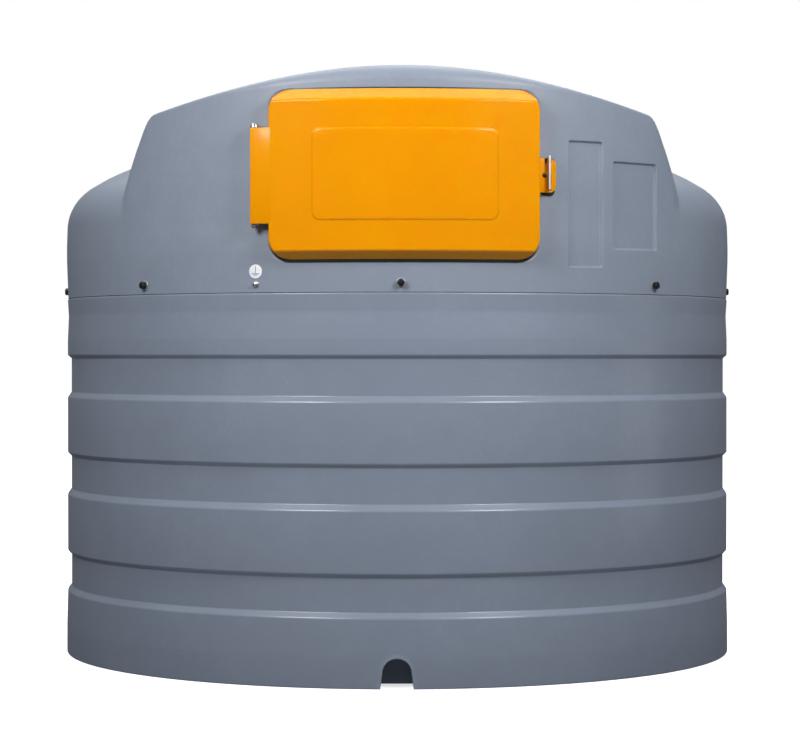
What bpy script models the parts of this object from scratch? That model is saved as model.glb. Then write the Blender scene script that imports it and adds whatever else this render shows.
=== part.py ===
"""Vertical storage tank: a round, double-skinned, moulded plastic tank with a bolted cover and a cabinet door.

Metres, +Z up. The origin is on the ground at the tank's axis, and the front with the door faces -Y.
Azimuths are measured from the front, towards +X.
"""

from math import cos, pi, radians, sin, sqrt

import bmesh
import bpy
from mathutils import Matrix, Vector

# Overall form
TANK_R = 1.175
WALL = 0.010
GAP = 0.0003
MERGE = 0.00003
FACETS = 48
SEGMENTS = 8

# Outer tank, from the ground up
FOOT_R = TANK_R + 0.003
FOOT_Z = 0.100
GROOVE_DEPTH = 0.0135

# Heights of each groove, from the lowest groove up: low lip, low root, high root, high lip
GROOVES = ((0.2205, 0.2385, 0.3480, 0.3610), (0.5580, 0.5780, 0.6930, 0.7060), (0.9000, 0.9180, 1.0365, 1.0480))

# Outer tank's rim
RIM_R = TANK_R - 0.0035
RIM_START_Z = 1.100
RIM_TAPER_Z = 1.180
SEAM_Z = 1.245
UPSTAND_R = TANK_R - 0.0084
UPSTAND_TOP_Z = 1.315
FLOOR_THICK = 0.012

# Arched notch at the front of the base
NOTCH_X = -0.0125
NOTCH_FLOOR_HALF = 0.0525
NOTCH_ARCH_R = 0.0457
NOTCH_TOP_Z = 0.096
NOTCH_DEPTH = 0.140
NOTCH_BURY = 0.005

# Cover
SKIRT_R = TANK_R + 0.003
BODY_R = TANK_R + 0.002
SHOULDER_R = TANK_R + 0.001
COVER_INNER_R = TANK_R - 0.008
BODY_INNER_R = COVER_INNER_R - 0.002
SKIRT_BULGE_Z = (1.380, 1.430)
SKIRT_TUCK = 0.005
SHOULDER_Z = 1.490
SHOULDER_WIDE = 0.200
SHOULDER_HIGH = 0.176
SHOULDER_SWEEP = radians(62)
SHOULDER_STEPS = 5
SHOULDER_EASE = ((1.034, 1.6667), (0.9956, 1.6843), (0.893, 1.728))
SHOULDER_CORE_R = 0.800
SHOULDER_CORE_Z = 1.740
BODY_LOW_Z = 1.400
BODY_MIDDLE_X = 0.007
CHEEK = ((0.938, 1.380), (0.935, 1.480), (0.925, 1.540), (0.912, 1.600), (0.8933, 1.657), (0.870, 1.721),
         (0.840, 1.784), (0.822, 1.812), (0.806, 1.828), (0.760, 1.860), (0.600, 2.100))
CROWN_Z = 1.960
CROWN_FALL = 0.2275
CROWN_EASE = 0.055
CROWN_DOME = 0.020
CROWN_ROLL = 0.050
CROWN_RINGS = (0.0, 0.35, 0.70, 0.95)
ROLL_STEPS = 4

# How the cover is divided
SIDE_SPLIT_X = 0.860
BACK_SPLIT_X = 0.300
CROWN_SPLIT_R = COVER_INNER_R - 0.012
OPENING_X = (-0.392, 0.414)
OPENING_Z = (1.374, 1.850)

# Recessed rectangles in the cover: lowest and highest azimuth in degrees, then height
RECESSES = ((27.0, 33.1, 1.330, 1.732), (35.6, 45.1, 1.392, 1.675))
RECESS_DEPTH = 0.005

# Cabinet liner behind the door
LINER_MARGIN = 0.006
LINER_WALL = 0.006
LINER_BACK_Y = -0.800

# Door
DOOR_X = (-0.4156, 0.438)
DOOR_BACK_Z = (1.348, 1.882)
DOOR_FRONT_Z = (1.374, 1.846)
DOOR_CORNER_R = 0.068
DOOR_BACK_R = TANK_R + 0.008
DOOR_FRONT_R = TANK_R + 0.050
DOOR_WALL = 0.006
PANEL_X = (-0.280, 0.305)
PANEL_Z = (1.4675, 1.757)
PANEL_CORNER_R = 0.028
PANEL_RISE = 0.0035

# Hinge: an upright rod through the ears of the door's flap and a boss on the cover
HINGE_AZIMUTH = radians(-22.5)
HINGE_R = TANK_R + 0.030
FLAP_LEFT_X = -0.474
FLAP_Z = (1.460, 1.762)
FLAP_BACK_R = HINGE_R - 0.012
ROD_R = 0.005
EAR_CLEARANCE = 0.0008
BARREL_R = 0.009
BARREL_END_GAP = 0.0055
BOSS_HALF = 0.022
BOSS_THICK = 0.005
BOSS_WEB_HALF = 0.008
BOSS_END_GAP = 0.014
ROD_HEAD_R = 0.0125
ROD_HEAD_HEIGHT = 0.018
ROD_NUT_R = 0.0095
ROD_NUT_HEIGHT = 0.010
ROD_TIP = 0.006

# Latch: a tongue on the door with an open slot, which a steel blade on the cover stands out through
LATCH_AZIMUTH = radians(22.5)
TONGUE_BACK_R = TANK_R + 0.0175
TONGUE_THICK = 0.006
TONGUE_X = (0.433, 0.495)
TONGUE_Z = (1.561, 1.669)
TONGUE_CORNER_R = 0.022
BLADE_X = 0.4715
BLADE_THICK = 0.006
BLADE_Z = (1.5715, 1.673)
BLADE_FRONT_Y = -1.128
BLADE_ROOT_Y = -1.0880
SLOT_CLEARANCE = 0.005
KEEPER_T = (-0.008, 0.044)
KEEPER_Z = (1.549, 1.675)
KEEPER_CORNER_R = 0.012
KEEPER_THICK = 0.008
FOOT_T = (-0.004, 0.040)
FOOT_THICK = 0.003
EYE_Y = -1.1145
EYE_Z = 1.628
EYE_R = 0.006
LATCH_SCREW_X = 0.4515
LATCH_SCREW_Z = 1.615
LATCH_SCREW_R = 0.0055
LATCH_SCREW_HEIGHT = 0.004
LATCH_SHANK_R = 0.0025

# Bolts through the cover's skirt and the bund's upstand
BOLTS = 8
BOLT_Z = 1.275
BOLT_SHANK_R = 0.005
BOLT_HOLE_R = 0.0055
WASHER_R = 0.0155
WASHER_THICK = 0.003
BOLT_HEAD_R = 0.0115
BOLT_HEAD_HEIGHT = 0.017
BOLT_INNER_R = TANK_R - 0.030
NUT_R = 0.010
NUT_THICK = 0.008

# Earth point
EARTH_AZIMUTH = radians(-22.8)
EARTH_BOLT_Z = 1.271
EARTH_HEAD_R = 0.0075
EARTH_HEAD_HEIGHT = 0.008
EARTH_WASHER_R = 0.011
EARTH_WASHER_THICK = 0.002
EARTH_SHANK_R = 0.004
SIGN_Z = 1.312
SIGN_R = 0.0225
SIGN_THICK = 0.0012

# Fittings on the crown
HATCH_R = 0.235
HATCH_WALL = 0.020
HATCH_TOP_Z = 2.000
HATCH_LID_R = 0.260
HATCH_LID_THICK = 0.022
HATCH_LID_DOME = 0.012
VENT_PLACE = (0.420, 0.330)
VENT_PIPE_R = 0.030
VENT_CAP_R = 0.058
VENT_TOP_Z = 2.010
VENT_CAP_HEIGHT = 0.035

# Colours as seen, 0 to 255
GREY = (136, 145, 159)
ORANGE = (245, 159, 1)
BLACK = (32, 34, 38)
STEEL = (176, 178, 182)
WHITE = (236, 238, 242)


def linear(colour):
    """A seen colour, 0 to 255, as the linear values that a shader takes."""
    shares = [value / 255 for value in colour]
    return [share / 12.92 if share <= 0.04045 else ((share + 0.055) / 1.055) ** 2.4 for share in shares]


def make_material(name, colour, roughness, metallic):
    """A plain Principled material."""
    material = bpy.data.materials.new(name)
    material.use_nodes = True
    shader = material.node_tree.nodes["Principled BSDF"]
    shader.inputs["Base Color"].default_value = (*linear(colour), 1.0)
    shader.inputs["Roughness"].default_value = roughness
    shader.inputs["Metallic"].default_value = metallic
    return material


def from_bmesh(name, shape):
    """A new object, in the scene but in no collection of the tank yet, from a bmesh."""
    bmesh.ops.recalc_face_normals(shape, faces=shape.faces)
    mesh = bpy.data.meshes.new(name)
    shape.to_mesh(mesh)
    shape.free()
    made = bpy.data.objects.new(name, mesh)
    bpy.context.scene.collection.objects.link(made)
    return made


def baked(made):
    """Turns an object's modifiers and placing into plain vertices."""
    bpy.context.view_layer.update()
    graph = bpy.context.evaluated_depsgraph_get()
    mesh = bpy.data.meshes.new_from_object(made.evaluated_get(graph))
    mesh.transform(made.matrix_world)
    made.modifiers.clear()
    made.data = mesh
    made.matrix_world = Matrix.Identity(4)
    return made


def combine(target, tool, operation):
    """Joins, cuts or trims target by tool, which is used up."""
    step = target.modifiers.new(operation, "BOOLEAN")
    step.operation = operation
    step.solver = "EXACT"
    step.object = tool
    baked(target)
    bpy.data.objects.remove(tool)
    shape = bmesh.new()
    shape.from_mesh(target.data)
    bmesh.ops.remove_doubles(shape, verts=shape.verts, dist=MERGE)
    shape.to_mesh(target.data)
    shape.free()
    return target


def union(target, *tools):
    for tool in tools:
        combine(target, tool, "UNION")
    return target


def cut(target, *tools):
    for tool in tools:
        combine(target, tool, "DIFFERENCE")
    return target


def trim(target, *tools):
    for tool in tools:
        combine(target, tool, "INTERSECT")
    return target


def copied(made, name):
    """A second object with its own mesh."""
    second = bpy.data.objects.new(name, made.data.copy())
    bpy.context.scene.collection.objects.link(second)
    return second


def turned(name, profile, steps=FACETS, wall=0.0):
    """A turned shape from (radius, z) points, top to bottom; with a wall, a shell with that outer side.

    The radii are drawn a little large, so that corners and flats lie equally far from the true circle.
    """
    spread = 2 / (1 + cos(pi / steps))
    mesh = bpy.data.meshes.new(name)
    points = [(radius * spread, 0.0, z) for radius, z in profile]
    mesh.from_pydata(points, [(i, i + 1) for i in range(len(points) - 1)], [])
    made = bpy.data.objects.new(name, mesh)
    bpy.context.scene.collection.objects.link(made)
    screw = made.modifiers.new("turn", "SCREW")
    screw.axis = "Z"
    screw.angle = 2 * pi
    screw.steps = steps
    screw.render_steps = steps
    screw.use_merge_vertices = True
    screw.merge_threshold = 0.00005
    if wall:
        solid = made.modifiers.new("wall", "SOLIDIFY")
        solid.thickness = wall
        solid.offset = -1
        solid.use_even_offset = True
    made.rotation_euler.z = pi / steps
    return baked(made)


def flat_radius(radius, steps=FACETS):
    """How far the flats of a turned shape of that radius lie from the axis."""
    return radius * 2 * cos(pi / steps) / (1 + cos(pi / steps))


def block(name, x, y, z):
    """A box from (low, high) pairs."""
    centre = Vector([(low + high) / 2 for low, high in (x, y, z)])
    size = Vector([high - low for low, high in (x, y, z)])
    shape = bmesh.new()
    bmesh.ops.create_cube(shape, size=1.0, matrix=Matrix.Translation(centre) @ Matrix.Diagonal((*size, 1.0)))
    return from_bmesh(name, shape)


def prism(name, outline, y):
    """A front-view outline of (x, z) points, extruded from y[0] to y[1]."""
    shape = bmesh.new()
    face = shape.faces.new([shape.verts.new((x, y[0], z)) for x, z in outline])
    raised = bmesh.ops.extrude_face_region(shape, geom=[face])["geom"]
    moved = [part for part in raised if isinstance(part, bmesh.types.BMVert)]
    bmesh.ops.translate(shape, vec=(0.0, y[1] - y[0], 0.0), verts=moved)
    return from_bmesh(name, shape)


def sector(name, radius, azimuth, z, steps=4):
    """A piece of a ring between two azimuths, from (low, high) pairs."""
    shape = bmesh.new()
    corners = [(radius[0], z[0]), (radius[1], z[0]), (radius[1], z[1]), (radius[0], z[1])]
    start = Matrix.Rotation(azimuth[0], 4, "Z")
    face = shape.faces.new([shape.verts.new(start @ Vector((0.0, -r, height))) for r, height in corners])
    geometry = [face, *face.edges, *face.verts]
    bmesh.ops.spin(shape, geom=geometry, axis=(0, 0, 1), cent=(0, 0, 0), steps=steps, angle=azimuth[1] - azimuth[0])
    return from_bmesh(name, shape)


def peg(name, radius, low, high, sides, azimuth=0.0, z=0.0, aside=0.0):
    """A round or six-sided peg that points out of the tank's wall, between two distances from the axis."""
    place = Matrix.Rotation(azimuth, 4, "Z") @ Matrix.Translation((aside, -(low + high) / 2, z))
    shape = bmesh.new()
    bmesh.ops.create_cone(shape, cap_ends=True, segments=sides, radius1=radius, radius2=radius,
                          depth=high - low, matrix=place @ Matrix.Rotation(pi / 2, 4, "X"))
    return from_bmesh(name, shape)


def upright(name, radius, z, place, sides):
    """A standing peg at (x, y)."""
    centre = Matrix.Translation((place[0], place[1], (z[0] + z[1]) / 2))
    shape = bmesh.new()
    bmesh.ops.create_cone(shape, cap_ends=True, segments=sides, radius1=radius, radius2=radius,
                          depth=z[1] - z[0], matrix=centre)
    return from_bmesh(name, shape)


def arc(centre, radius, start, end, steps):
    """Points on a circle's arc, angles in radians."""
    angles = [start + (end - start) * i / steps for i in range(steps + 1)]
    return [(centre[0] + radius * cos(angle), centre[1] + radius * sin(angle)) for angle in angles]


def rounded(x, z, corner, steps=4):
    """A rectangle with round corners."""
    left, right, low, high = x[0] + corner, x[1] - corner, z[0] + corner, z[1] - corner
    return (arc((right, low), corner, -pi / 2, 0, steps) + arc((right, high), corner, 0, pi / 2, steps)
            + arc((left, high), corner, pi / 2, pi, steps) + arc((left, low), corner, pi, 1.5 * pi, steps))


def on_wall(name, outline, radius, azimuth):
    """An outline of (sideways, z) points on the wall, extruded between two distances from the axis."""
    made = prism(name, outline, (-radius[1], -radius[0]))
    made.rotation_euler.z = azimuth
    return baked(made)


def seat(azimuth):
    """The azimuth of the flat under a place on the wall, and how far to its side the place lies."""
    step = 2 * pi / FACETS
    flat = round(azimuth / step) * step
    return flat, BODY_R * sin(azimuth - flat)


def skirt_face(z):
    """How far the skirt's flats lie from the axis at a height, with the hair's gap of what sits on them."""
    share = min(1.0, (z - SEAM_Z) / (SKIRT_BULGE_Z[0] - SEAM_Z))
    return flat_radius(SKIRT_R - SKIRT_TUCK * (1 - share)) + GAP


def bund_profile():
    """The outer side of the outer tank, from the upstand's top to the ground."""
    points = [(UPSTAND_R, UPSTAND_TOP_Z), (UPSTAND_R, SEAM_Z), (RIM_R, SEAM_Z), (RIM_R, RIM_TAPER_Z),
              (TANK_R, RIM_START_Z)]
    inner = TANK_R - GROOVE_DEPTH
    for low, low_root, high_root, high in reversed(GROOVES):
        points += [(TANK_R, high), (inner, high_root), (inner, low_root), (TANK_R, low)]
    return points + [(FOOT_R, FOOT_Z), (FOOT_R, 0.0)]


def notch_outline(grow):
    """The notch as an arch, its sides a little wider at the ground, larger all round by grow."""
    spring_z = NOTCH_TOP_Z - NOTCH_ARCH_R
    foot = NOTCH_FLOOR_HALF + grow
    floor = [(NOTCH_X - foot, 0.0), (NOTCH_X + foot, 0.0)]
    return floor + arc((NOTCH_X, spring_z), NOTCH_ARCH_R + grow, 0, pi, 10)


def cut_below_ground(outline, depth=0.02):
    """Carries the two lowest points of a notch outline below the ground."""
    left, right = outline[0], outline[1]
    return [(left[0], -depth), (right[0], -depth), right] + outline[2:] + [left]


def wedge(name, middle, width):
    """A wedge from the axis outwards, a hair narrower than its share, from below ground to above the crown."""
    shape = bmesh.new()
    reach = 2 * TANK_R
    corners = [(0.0, 0.0), (-reach * sin(width / 2), -reach * cos(width / 2)),
               (reach * sin(width / 2), -reach * cos(width / 2))]
    face = shape.faces.new([shape.verts.new((x, y, -0.5)) for x, y in corners])
    raised = bmesh.ops.extrude_face_region(shape, geom=[face])["geom"]
    moved = [part for part in raised if isinstance(part, bmesh.types.BMVert)]
    bmesh.ops.translate(shape, vec=(0.0, 0.0, 3.0), verts=moved)
    made = from_bmesh(name, shape)
    clear = GAP / 2 / sin(width / 2)
    made.matrix_world = Matrix.Rotation(middle, 4, "Z") @ Matrix.Translation((0.0, -clear, 0.0))
    return baked(made)


def plug(name, radius, z=(1.0, 3.0)):
    """A turned cylinder on the tank's axis."""
    return turned(name, [(0.0, z[1]), (radius, z[1]), (radius, z[0]), (0.0, z[0])])


def bolt_holes(radius):
    """Cutters for the bolt holes, with the azimuth of each."""
    for number in range(BOLTS):
        azimuth = 2 * pi * number / BOLTS
        yield azimuth, peg("hole", radius, TANK_R - 0.05, TANK_R + 0.05, 8, azimuth, BOLT_Z)


def bund_walls():
    """The ribbed wall in eight segments, the front one with the notch and its pocket."""
    names = ("front", "front_right", "right", "back_right", "back", "back_left", "left", "front_left")
    ring = turned("ring", bund_profile(), wall=WALL)
    width = 2 * pi / SEGMENTS
    walls = []
    for number, (azimuth, hole) in enumerate(bolt_holes(BOLT_HOLE_R)):
        wall = copied(ring, "bund_wall_" + names[number])
        trim(wall, wedge("wedge", azimuth, width))
        cut(wall, hole)
        walls.append(wall)
    bpy.data.objects.remove(ring)
    pocket = prism("pocket", notch_outline(WALL), (-TANK_R + NOTCH_BURY, -TANK_R + NOTCH_DEPTH + WALL))
    hollow = prism("hollow", cut_below_ground(notch_outline(0.0)), (-TANK_R - 0.1, -TANK_R + NOTCH_DEPTH))
    cut(union(walls[0], pocket), hollow)
    return walls


def bund_floor():
    """The flat bottom, inside the wall and around the notch's pocket."""
    floor = plug("bund_floor", FOOT_R - WALL - 2 * GAP, (0.0, FLOOR_THICK))
    room = prism("room", cut_below_ground(notch_outline(WALL + GAP)),
                 (-TANK_R - 0.1, -TANK_R + NOTCH_DEPTH + WALL + GAP))
    return cut(floor, room)


def shoulder_solid(name, inset, low_z):
    """The turned part of the cover: skirt and rolled shoulder, smaller all round by inset."""
    edge = SHOULDER_R if inset == 0 else COVER_INNER_R
    wide, high = SHOULDER_WIDE, SHOULDER_HIGH
    points = [(0.0, SHOULDER_CORE_Z - inset), (SHOULDER_CORE_R, SHOULDER_CORE_Z - inset)]
    points += [(radius - inset / 2, z - inset) for radius, z in reversed(SHOULDER_EASE)]
    for step in range(SHOULDER_STEPS, -1, -1):
        angle = SHOULDER_SWEEP * step / SHOULDER_STEPS
        points.append((edge - wide + wide * cos(angle), SHOULDER_Z + (high - inset) * sin(angle)))
    if inset == 0:
        points += [(SKIRT_R, SKIRT_BULGE_Z[1]), (SKIRT_R, SKIRT_BULGE_Z[0]), (SKIRT_R - SKIRT_TUCK, low_z)]
    else:
        points.append((edge, low_z))
    return turned(name, points + [(0.0, low_z)])


def crown_height(x, y):
    """How far the crown lies above or below its level at the middle of the front edge."""
    rim = BODY_R - CROWN_ROLL
    aside = x - BODY_MIDDLE_X
    dome = CROWN_DOME * max(0.0, 1 - (x * x + y * y) / (rim * rim))
    return dome - CROWN_FALL * aside * aside + CROWN_EASE * aside ** 4


def body_solid(name, inset):
    """The raised middle of the cover: a drum with a vaulted top and rolled edge, trimmed by the cheeks."""
    radius = BODY_R if inset == 0 else BODY_INNER_R
    roll = CROWN_ROLL - inset
    top = CROWN_Z - inset
    points = [(ring, top) for ring in CROWN_RINGS]
    for step in range(ROLL_STEPS + 1):
        angle = pi / 2 * step / ROLL_STEPS
        points.append((radius - roll + roll * sin(angle), top - roll + roll * cos(angle)))
    drum = turned(name, points + [(radius, BODY_LOW_Z), (0.0, BODY_LOW_Z)])
    for vertex in drum.data.vertices:
        if vertex.co.z > BODY_LOW_Z + WALL:
            vertex.co.z += crown_height(vertex.co.x, vertex.co.y)
    shape = bmesh.new()
    shape.from_mesh(drum.data)
    bmesh.ops.triangulate(shape, faces=shape.faces)
    shape.to_mesh(drum.data)
    shape.free()
    right = [(BODY_MIDDLE_X + x - inset, z) for x, z in CHEEK]
    left = [(BODY_MIDDLE_X - x + inset, z) for x, z in reversed(CHEEK)]
    return trim(drum, prism("cheeks", right + left, (-2 * TANK_R, 2 * TANK_R)))


def cover_shell():
    """The whole cover with its recesses and bolt holes, before it is divided."""
    shell = union(shoulder_solid("cover", 0.0, SEAM_Z + GAP), body_solid("body", 0.0))
    cut(shell, shoulder_solid("shoulder_hollow", WALL, SEAM_Z - 0.05), body_solid("body_hollow", WALL))
    for low, high, low_z, high_z in RECESSES:
        depths = (BODY_R - RECESS_DEPTH, BODY_R + 0.05)
        cut(shell, sector("recess", depths, (radians(low), radians(high)), (low_z, high_z)))
    for _azimuth, hole in bolt_holes(BOLT_HOLE_R):
        cut(shell, hole)
    flat, aside = seat(EARTH_AZIMUTH)
    cut(shell, peg("hole", EARTH_SHANK_R + GAP, TANK_R - 0.05, TANK_R + 0.05, 8, flat, EARTH_BOLT_Z, aside))
    return shell


def cover_pieces():
    """The cover, divided beside, under and over the cabinet opening, at the shoulders and round the crown."""
    shell = cover_shell()
    far = 2 * TANK_R
    half = GAP / 2
    all_z = (0.0, far)
    left, right = OPENING_X
    middle = (left + half, right - half)
    rooms = {
        "cover_side_left": ((-far, -SIDE_SPLIT_X - half), (-far, far), all_z),
        "cover_side_right": ((SIDE_SPLIT_X + half, far), (-far, far), all_z),
        "cover_crown": ((-SIDE_SPLIT_X + half, SIDE_SPLIT_X - half), (-far, far), all_z),
        "cover_front_left": ((-SIDE_SPLIT_X + half, left - half), (-far, 0.0), all_z),
        "cover_front_right": ((right + half, SIDE_SPLIT_X - half), (-far, 0.0), all_z),
        "cover_sill": (middle, (-far, 0.0), (0.0, OPENING_Z[0])),
        "cover_head": (middle, (-far, 0.0), (OPENING_Z[1], far)),
        "cover_back_left": ((-SIDE_SPLIT_X + half, -BACK_SPLIT_X - half), (0.0, far), all_z),
        "cover_back_middle": ((-BACK_SPLIT_X + half, BACK_SPLIT_X - half), (0.0, far), all_z),
        "cover_back_right": ((BACK_SPLIT_X + half, SIDE_SPLIT_X - half), (0.0, far), all_z),
    }
    pieces = []
    for name, (x, y, z) in rooms.items():
        piece = trim(copied(shell, name), block("room", x, y, z))
        if name == "cover_crown":
            trim(piece, plug("inside", CROWN_SPLIT_R - GAP))
        elif "side" not in name:
            cut(piece, plug("inside", CROWN_SPLIT_R))
        pieces.append(piece)
    bpy.data.objects.remove(shell)
    return pieces


def cabinet_liner():
    """An open tub behind the cabinet opening, its front edge against the inside of the cover."""
    inner_x = (OPENING_X[0] - LINER_MARGIN, OPENING_X[1] + LINER_MARGIN)
    inner_z = (OPENING_Z[0] - LINER_MARGIN, OPENING_Z[1] + LINER_MARGIN)
    outer_x = (inner_x[0] - LINER_WALL, inner_x[1] + LINER_WALL)
    outer_z = (inner_z[0] - LINER_WALL, inner_z[1] + LINER_WALL)
    front = -1.5 * TANK_R
    tub = block("cabinet_liner", outer_x, (front, LINER_BACK_Y), outer_z)
    cut(tub, block("hollow", inner_x, (2 * front, LINER_BACK_Y - LINER_WALL), inner_z))
    return trim(tub, plug("inside", BODY_INNER_R - 2 * GAP))


def ring_solid(name, low, high, z):
    """A turned ring."""
    return cut(plug(name, high, z), plug("bore", low, grown(z, 0.1)))


def grown(pair, by):
    return pair[0] - by, pair[1] + by


def door_disc(name, inset):
    """A disc with the door's bevelled rim, smaller all round by inset."""
    deep = DOOR_FRONT_R - DOOR_BACK_R
    top_slope = (DOOR_BACK_Z[1] - DOOR_FRONT_Z[1]) / deep
    low_slope = (DOOR_FRONT_Z[0] - DOOR_BACK_Z[0]) / deep
    top_drop = inset * sqrt(1 + top_slope ** 2)
    low_rise = inset * sqrt(1 + low_slope ** 2)
    front = DOOR_FRONT_R - inset
    back_top = DOOR_BACK_Z[1] - top_drop
    back_low = DOOR_BACK_Z[0] + low_rise
    front_top = DOOR_FRONT_Z[1] + top_slope * inset - top_drop
    front_low = DOOR_FRONT_Z[0] - low_slope * inset + low_rise
    return turned(name, [(0.0, back_top), (DOOR_BACK_R, back_top), (front, front_top), (front, front_low),
                         (DOOR_BACK_R, back_low), (0.0, back_low)])


def door_pan():
    """The curved pan, open at the back, with its raised panel."""
    y = (-1.5 * TANK_R, -0.5 * TANK_R)
    pan = trim(door_disc("door", 0.0), prism("outline", rounded(DOOR_X, DOOR_BACK_Z, DOOR_CORNER_R), y))
    tall = (1.0, 2.2)
    cut(pan, plug("core", DOOR_BACK_R))
    inner_outline = rounded(grown(DOOR_X, -DOOR_WALL), grown(DOOR_BACK_Z, -DOOR_WALL), DOOR_CORNER_R - DOOR_WALL)
    hollow = trim(door_disc("hollow", DOOR_WALL), prism("outline", inner_outline, y))
    cut(pan, hollow)
    panel = ring_solid("panel", DOOR_FRONT_R - DOOR_WALL / 2, DOOR_FRONT_R + PANEL_RISE, tall)
    trim(panel, prism("outline", rounded(PANEL_X, PANEL_Z, PANEL_CORNER_R), y))
    return union(pan, panel)


def hinge_place():
    return HINGE_R * sin(HINGE_AZIMUTH), -HINGE_R * cos(HINGE_AZIMUTH)


def hinge_flap():
    """The flap at the door's left: a front wall with an ear above and below, drilled for the rod."""
    y = (-1.5 * TANK_R, -0.5 * TANK_R)
    right = DOOR_X[0] + DOOR_WALL / 2
    flap = ring_solid("flap", FLAP_BACK_R, DOOR_FRONT_R, grown(FLAP_Z, 0.1))
    trim(flap, block("room", (FLAP_LEFT_X, right), y, FLAP_Z))
    hollow = ring_solid("hollow", FLAP_BACK_R - 0.05, DOOR_FRONT_R - DOOR_WALL, grown(FLAP_Z, -DOOR_WALL))
    trim(hollow, block("room", (FLAP_LEFT_X - 0.05, right + 0.05), y, grown(FLAP_Z, 0.1)))
    cut(flap, hollow)
    return cut(flap, upright("bore", ROD_R + EAR_CLEARANCE, grown(FLAP_Z, 0.02), hinge_place(), 12))


def latch_tongue():
    """The tongue at the door's right, with a slot for the blade that is open at the top."""
    y = (-1.5 * TANK_R, -0.5 * TANK_R)
    low = (TONGUE_X[1] - TONGUE_CORNER_R, TONGUE_Z[0] + TONGUE_CORNER_R)
    high = (TONGUE_X[1] - TONGUE_CORNER_R, TONGUE_Z[1] - TONGUE_CORNER_R)
    outline = [(TONGUE_X[0], TONGUE_Z[0])] + arc(low, TONGUE_CORNER_R, -pi / 2, 0, 4)
    outline += arc(high, TONGUE_CORNER_R, 0, pi / 2, 4) + [(TONGUE_X[0], TONGUE_Z[1])]
    tongue = ring_solid("tongue", TONGUE_BACK_R, TONGUE_BACK_R + TONGUE_THICK, grown(TONGUE_Z, 0.1))
    trim(tongue, prism("outline", outline, y))
    half = BLADE_THICK / 2 + SLOT_CLEARANCE
    slot = block("slot", (BLADE_X - half, BLADE_X + half), y, (BLADE_Z[0] - SLOT_CLEARANCE, TONGUE_Z[1] + 0.05))
    return cut(tongue, slot)


def latch_screw_aside():
    """How far the latch screw lies to the side of the middle of the tongue's flat."""
    radius = flat_radius(TONGUE_BACK_R + TONGUE_THICK)
    return (LATCH_SCREW_X - radius * sin(LATCH_AZIMUTH)) / cos(LATCH_AZIMUTH)


def door():
    """The door with its flap and tongue, turning about the hinge rod."""
    made = union(door_pan(), hinge_flap(), latch_tongue())
    hole = peg("hole", LATCH_SHANK_R + GAP, TANK_R, TANK_R + 0.1, 8, LATCH_AZIMUTH, LATCH_SCREW_Z, latch_screw_aside())
    return cut(made, hole)


def hinge_boss():
    """The boss on the cover that holds the rod: base, web and barrel."""
    base_r = flat_radius(BODY_R) + GAP
    z = grown(FLAP_Z, -BOSS_END_GAP)
    base = rounded((-BOSS_HALF, BOSS_HALF), z, BOSS_HALF / 2)
    web = [(-BOSS_WEB_HALF, z[0]), (BOSS_WEB_HALF, z[0]), (BOSS_WEB_HALF, z[1]), (-BOSS_WEB_HALF, z[1])]
    boss = on_wall("hinge_boss", base, (base_r, base_r + BOSS_THICK), HINGE_AZIMUTH)
    union(boss, on_wall("web", web, (base_r + BOSS_THICK / 2, HINGE_R), HINGE_AZIMUTH))
    barrel_z = grown(FLAP_Z, -DOOR_WALL - BARREL_END_GAP)
    union(boss, upright("barrel", BARREL_R, barrel_z, hinge_place(), 16))
    return cut(boss, upright("bore", ROD_R + GAP, grown(barrel_z, 0.02), hinge_place(), 12))


def hinge_rod():
    """The steel rod, with a domed head above the flap and a nut below it."""
    top = FLAP_Z[1] + 2 * GAP
    low = FLAP_Z[0] - 2 * GAP
    points = [(0.0, top + ROD_HEAD_HEIGHT)]
    points += [(ROD_HEAD_R * sin(pi / 2 * i / 4), top + 0.006 + (ROD_HEAD_HEIGHT - 0.006) * cos(pi / 2 * i / 4))
               for i in (1, 2, 3, 4)]
    points += [(ROD_HEAD_R, top), (ROD_R, top), (ROD_R, low), (ROD_NUT_R, low), (ROD_NUT_R, low - ROD_NUT_HEIGHT),
               (ROD_R, low - ROD_NUT_HEIGHT), (ROD_R, low - ROD_NUT_HEIGHT - ROD_TIP),
               (0.0, low - ROD_NUT_HEIGHT - ROD_TIP)]
    spread = 2 / (1 + cos(pi / 12))
    rod = turned("hinge_rod", [(radius / spread, z) for radius, z in points], steps=12)
    rod.location = (*hinge_place(), 0.0)
    return baked(rod)


def latch_keeper():
    """The moulded pad under the latch."""
    base_r = flat_radius(BODY_R) + GAP
    outline = rounded(KEEPER_T, KEEPER_Z, KEEPER_CORNER_R)
    return on_wall("latch_keeper", outline, (base_r, base_r + KEEPER_THICK), LATCH_AZIMUTH)


def hasp_blade():
    """The steel blade with the padlock eye, on a foot plate."""
    foot_r = flat_radius(BODY_R) + KEEPER_THICK + 2 * GAP
    outline = rounded(FOOT_T, BLADE_Z, FOOT_THICK)
    hasp = on_wall("hasp_blade", outline, (foot_r, foot_r + FOOT_THICK), LATCH_AZIMUTH)
    half = BLADE_THICK / 2
    blade_z = grown(BLADE_Z, -GAP)
    union(hasp, block("blade", (BLADE_X - half, BLADE_X + half), (BLADE_FRONT_Y, BLADE_ROOT_Y), blade_z))
    eye = upright("eye", EYE_R, (-0.05, 0.05), (0.0, 0.0), 12)
    eye.matrix_world = Matrix.Translation((BLADE_X, EYE_Y, EYE_Z)) @ Matrix.Rotation(pi / 2, 4, "Y")
    return cut(hasp, baked(eye))


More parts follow.
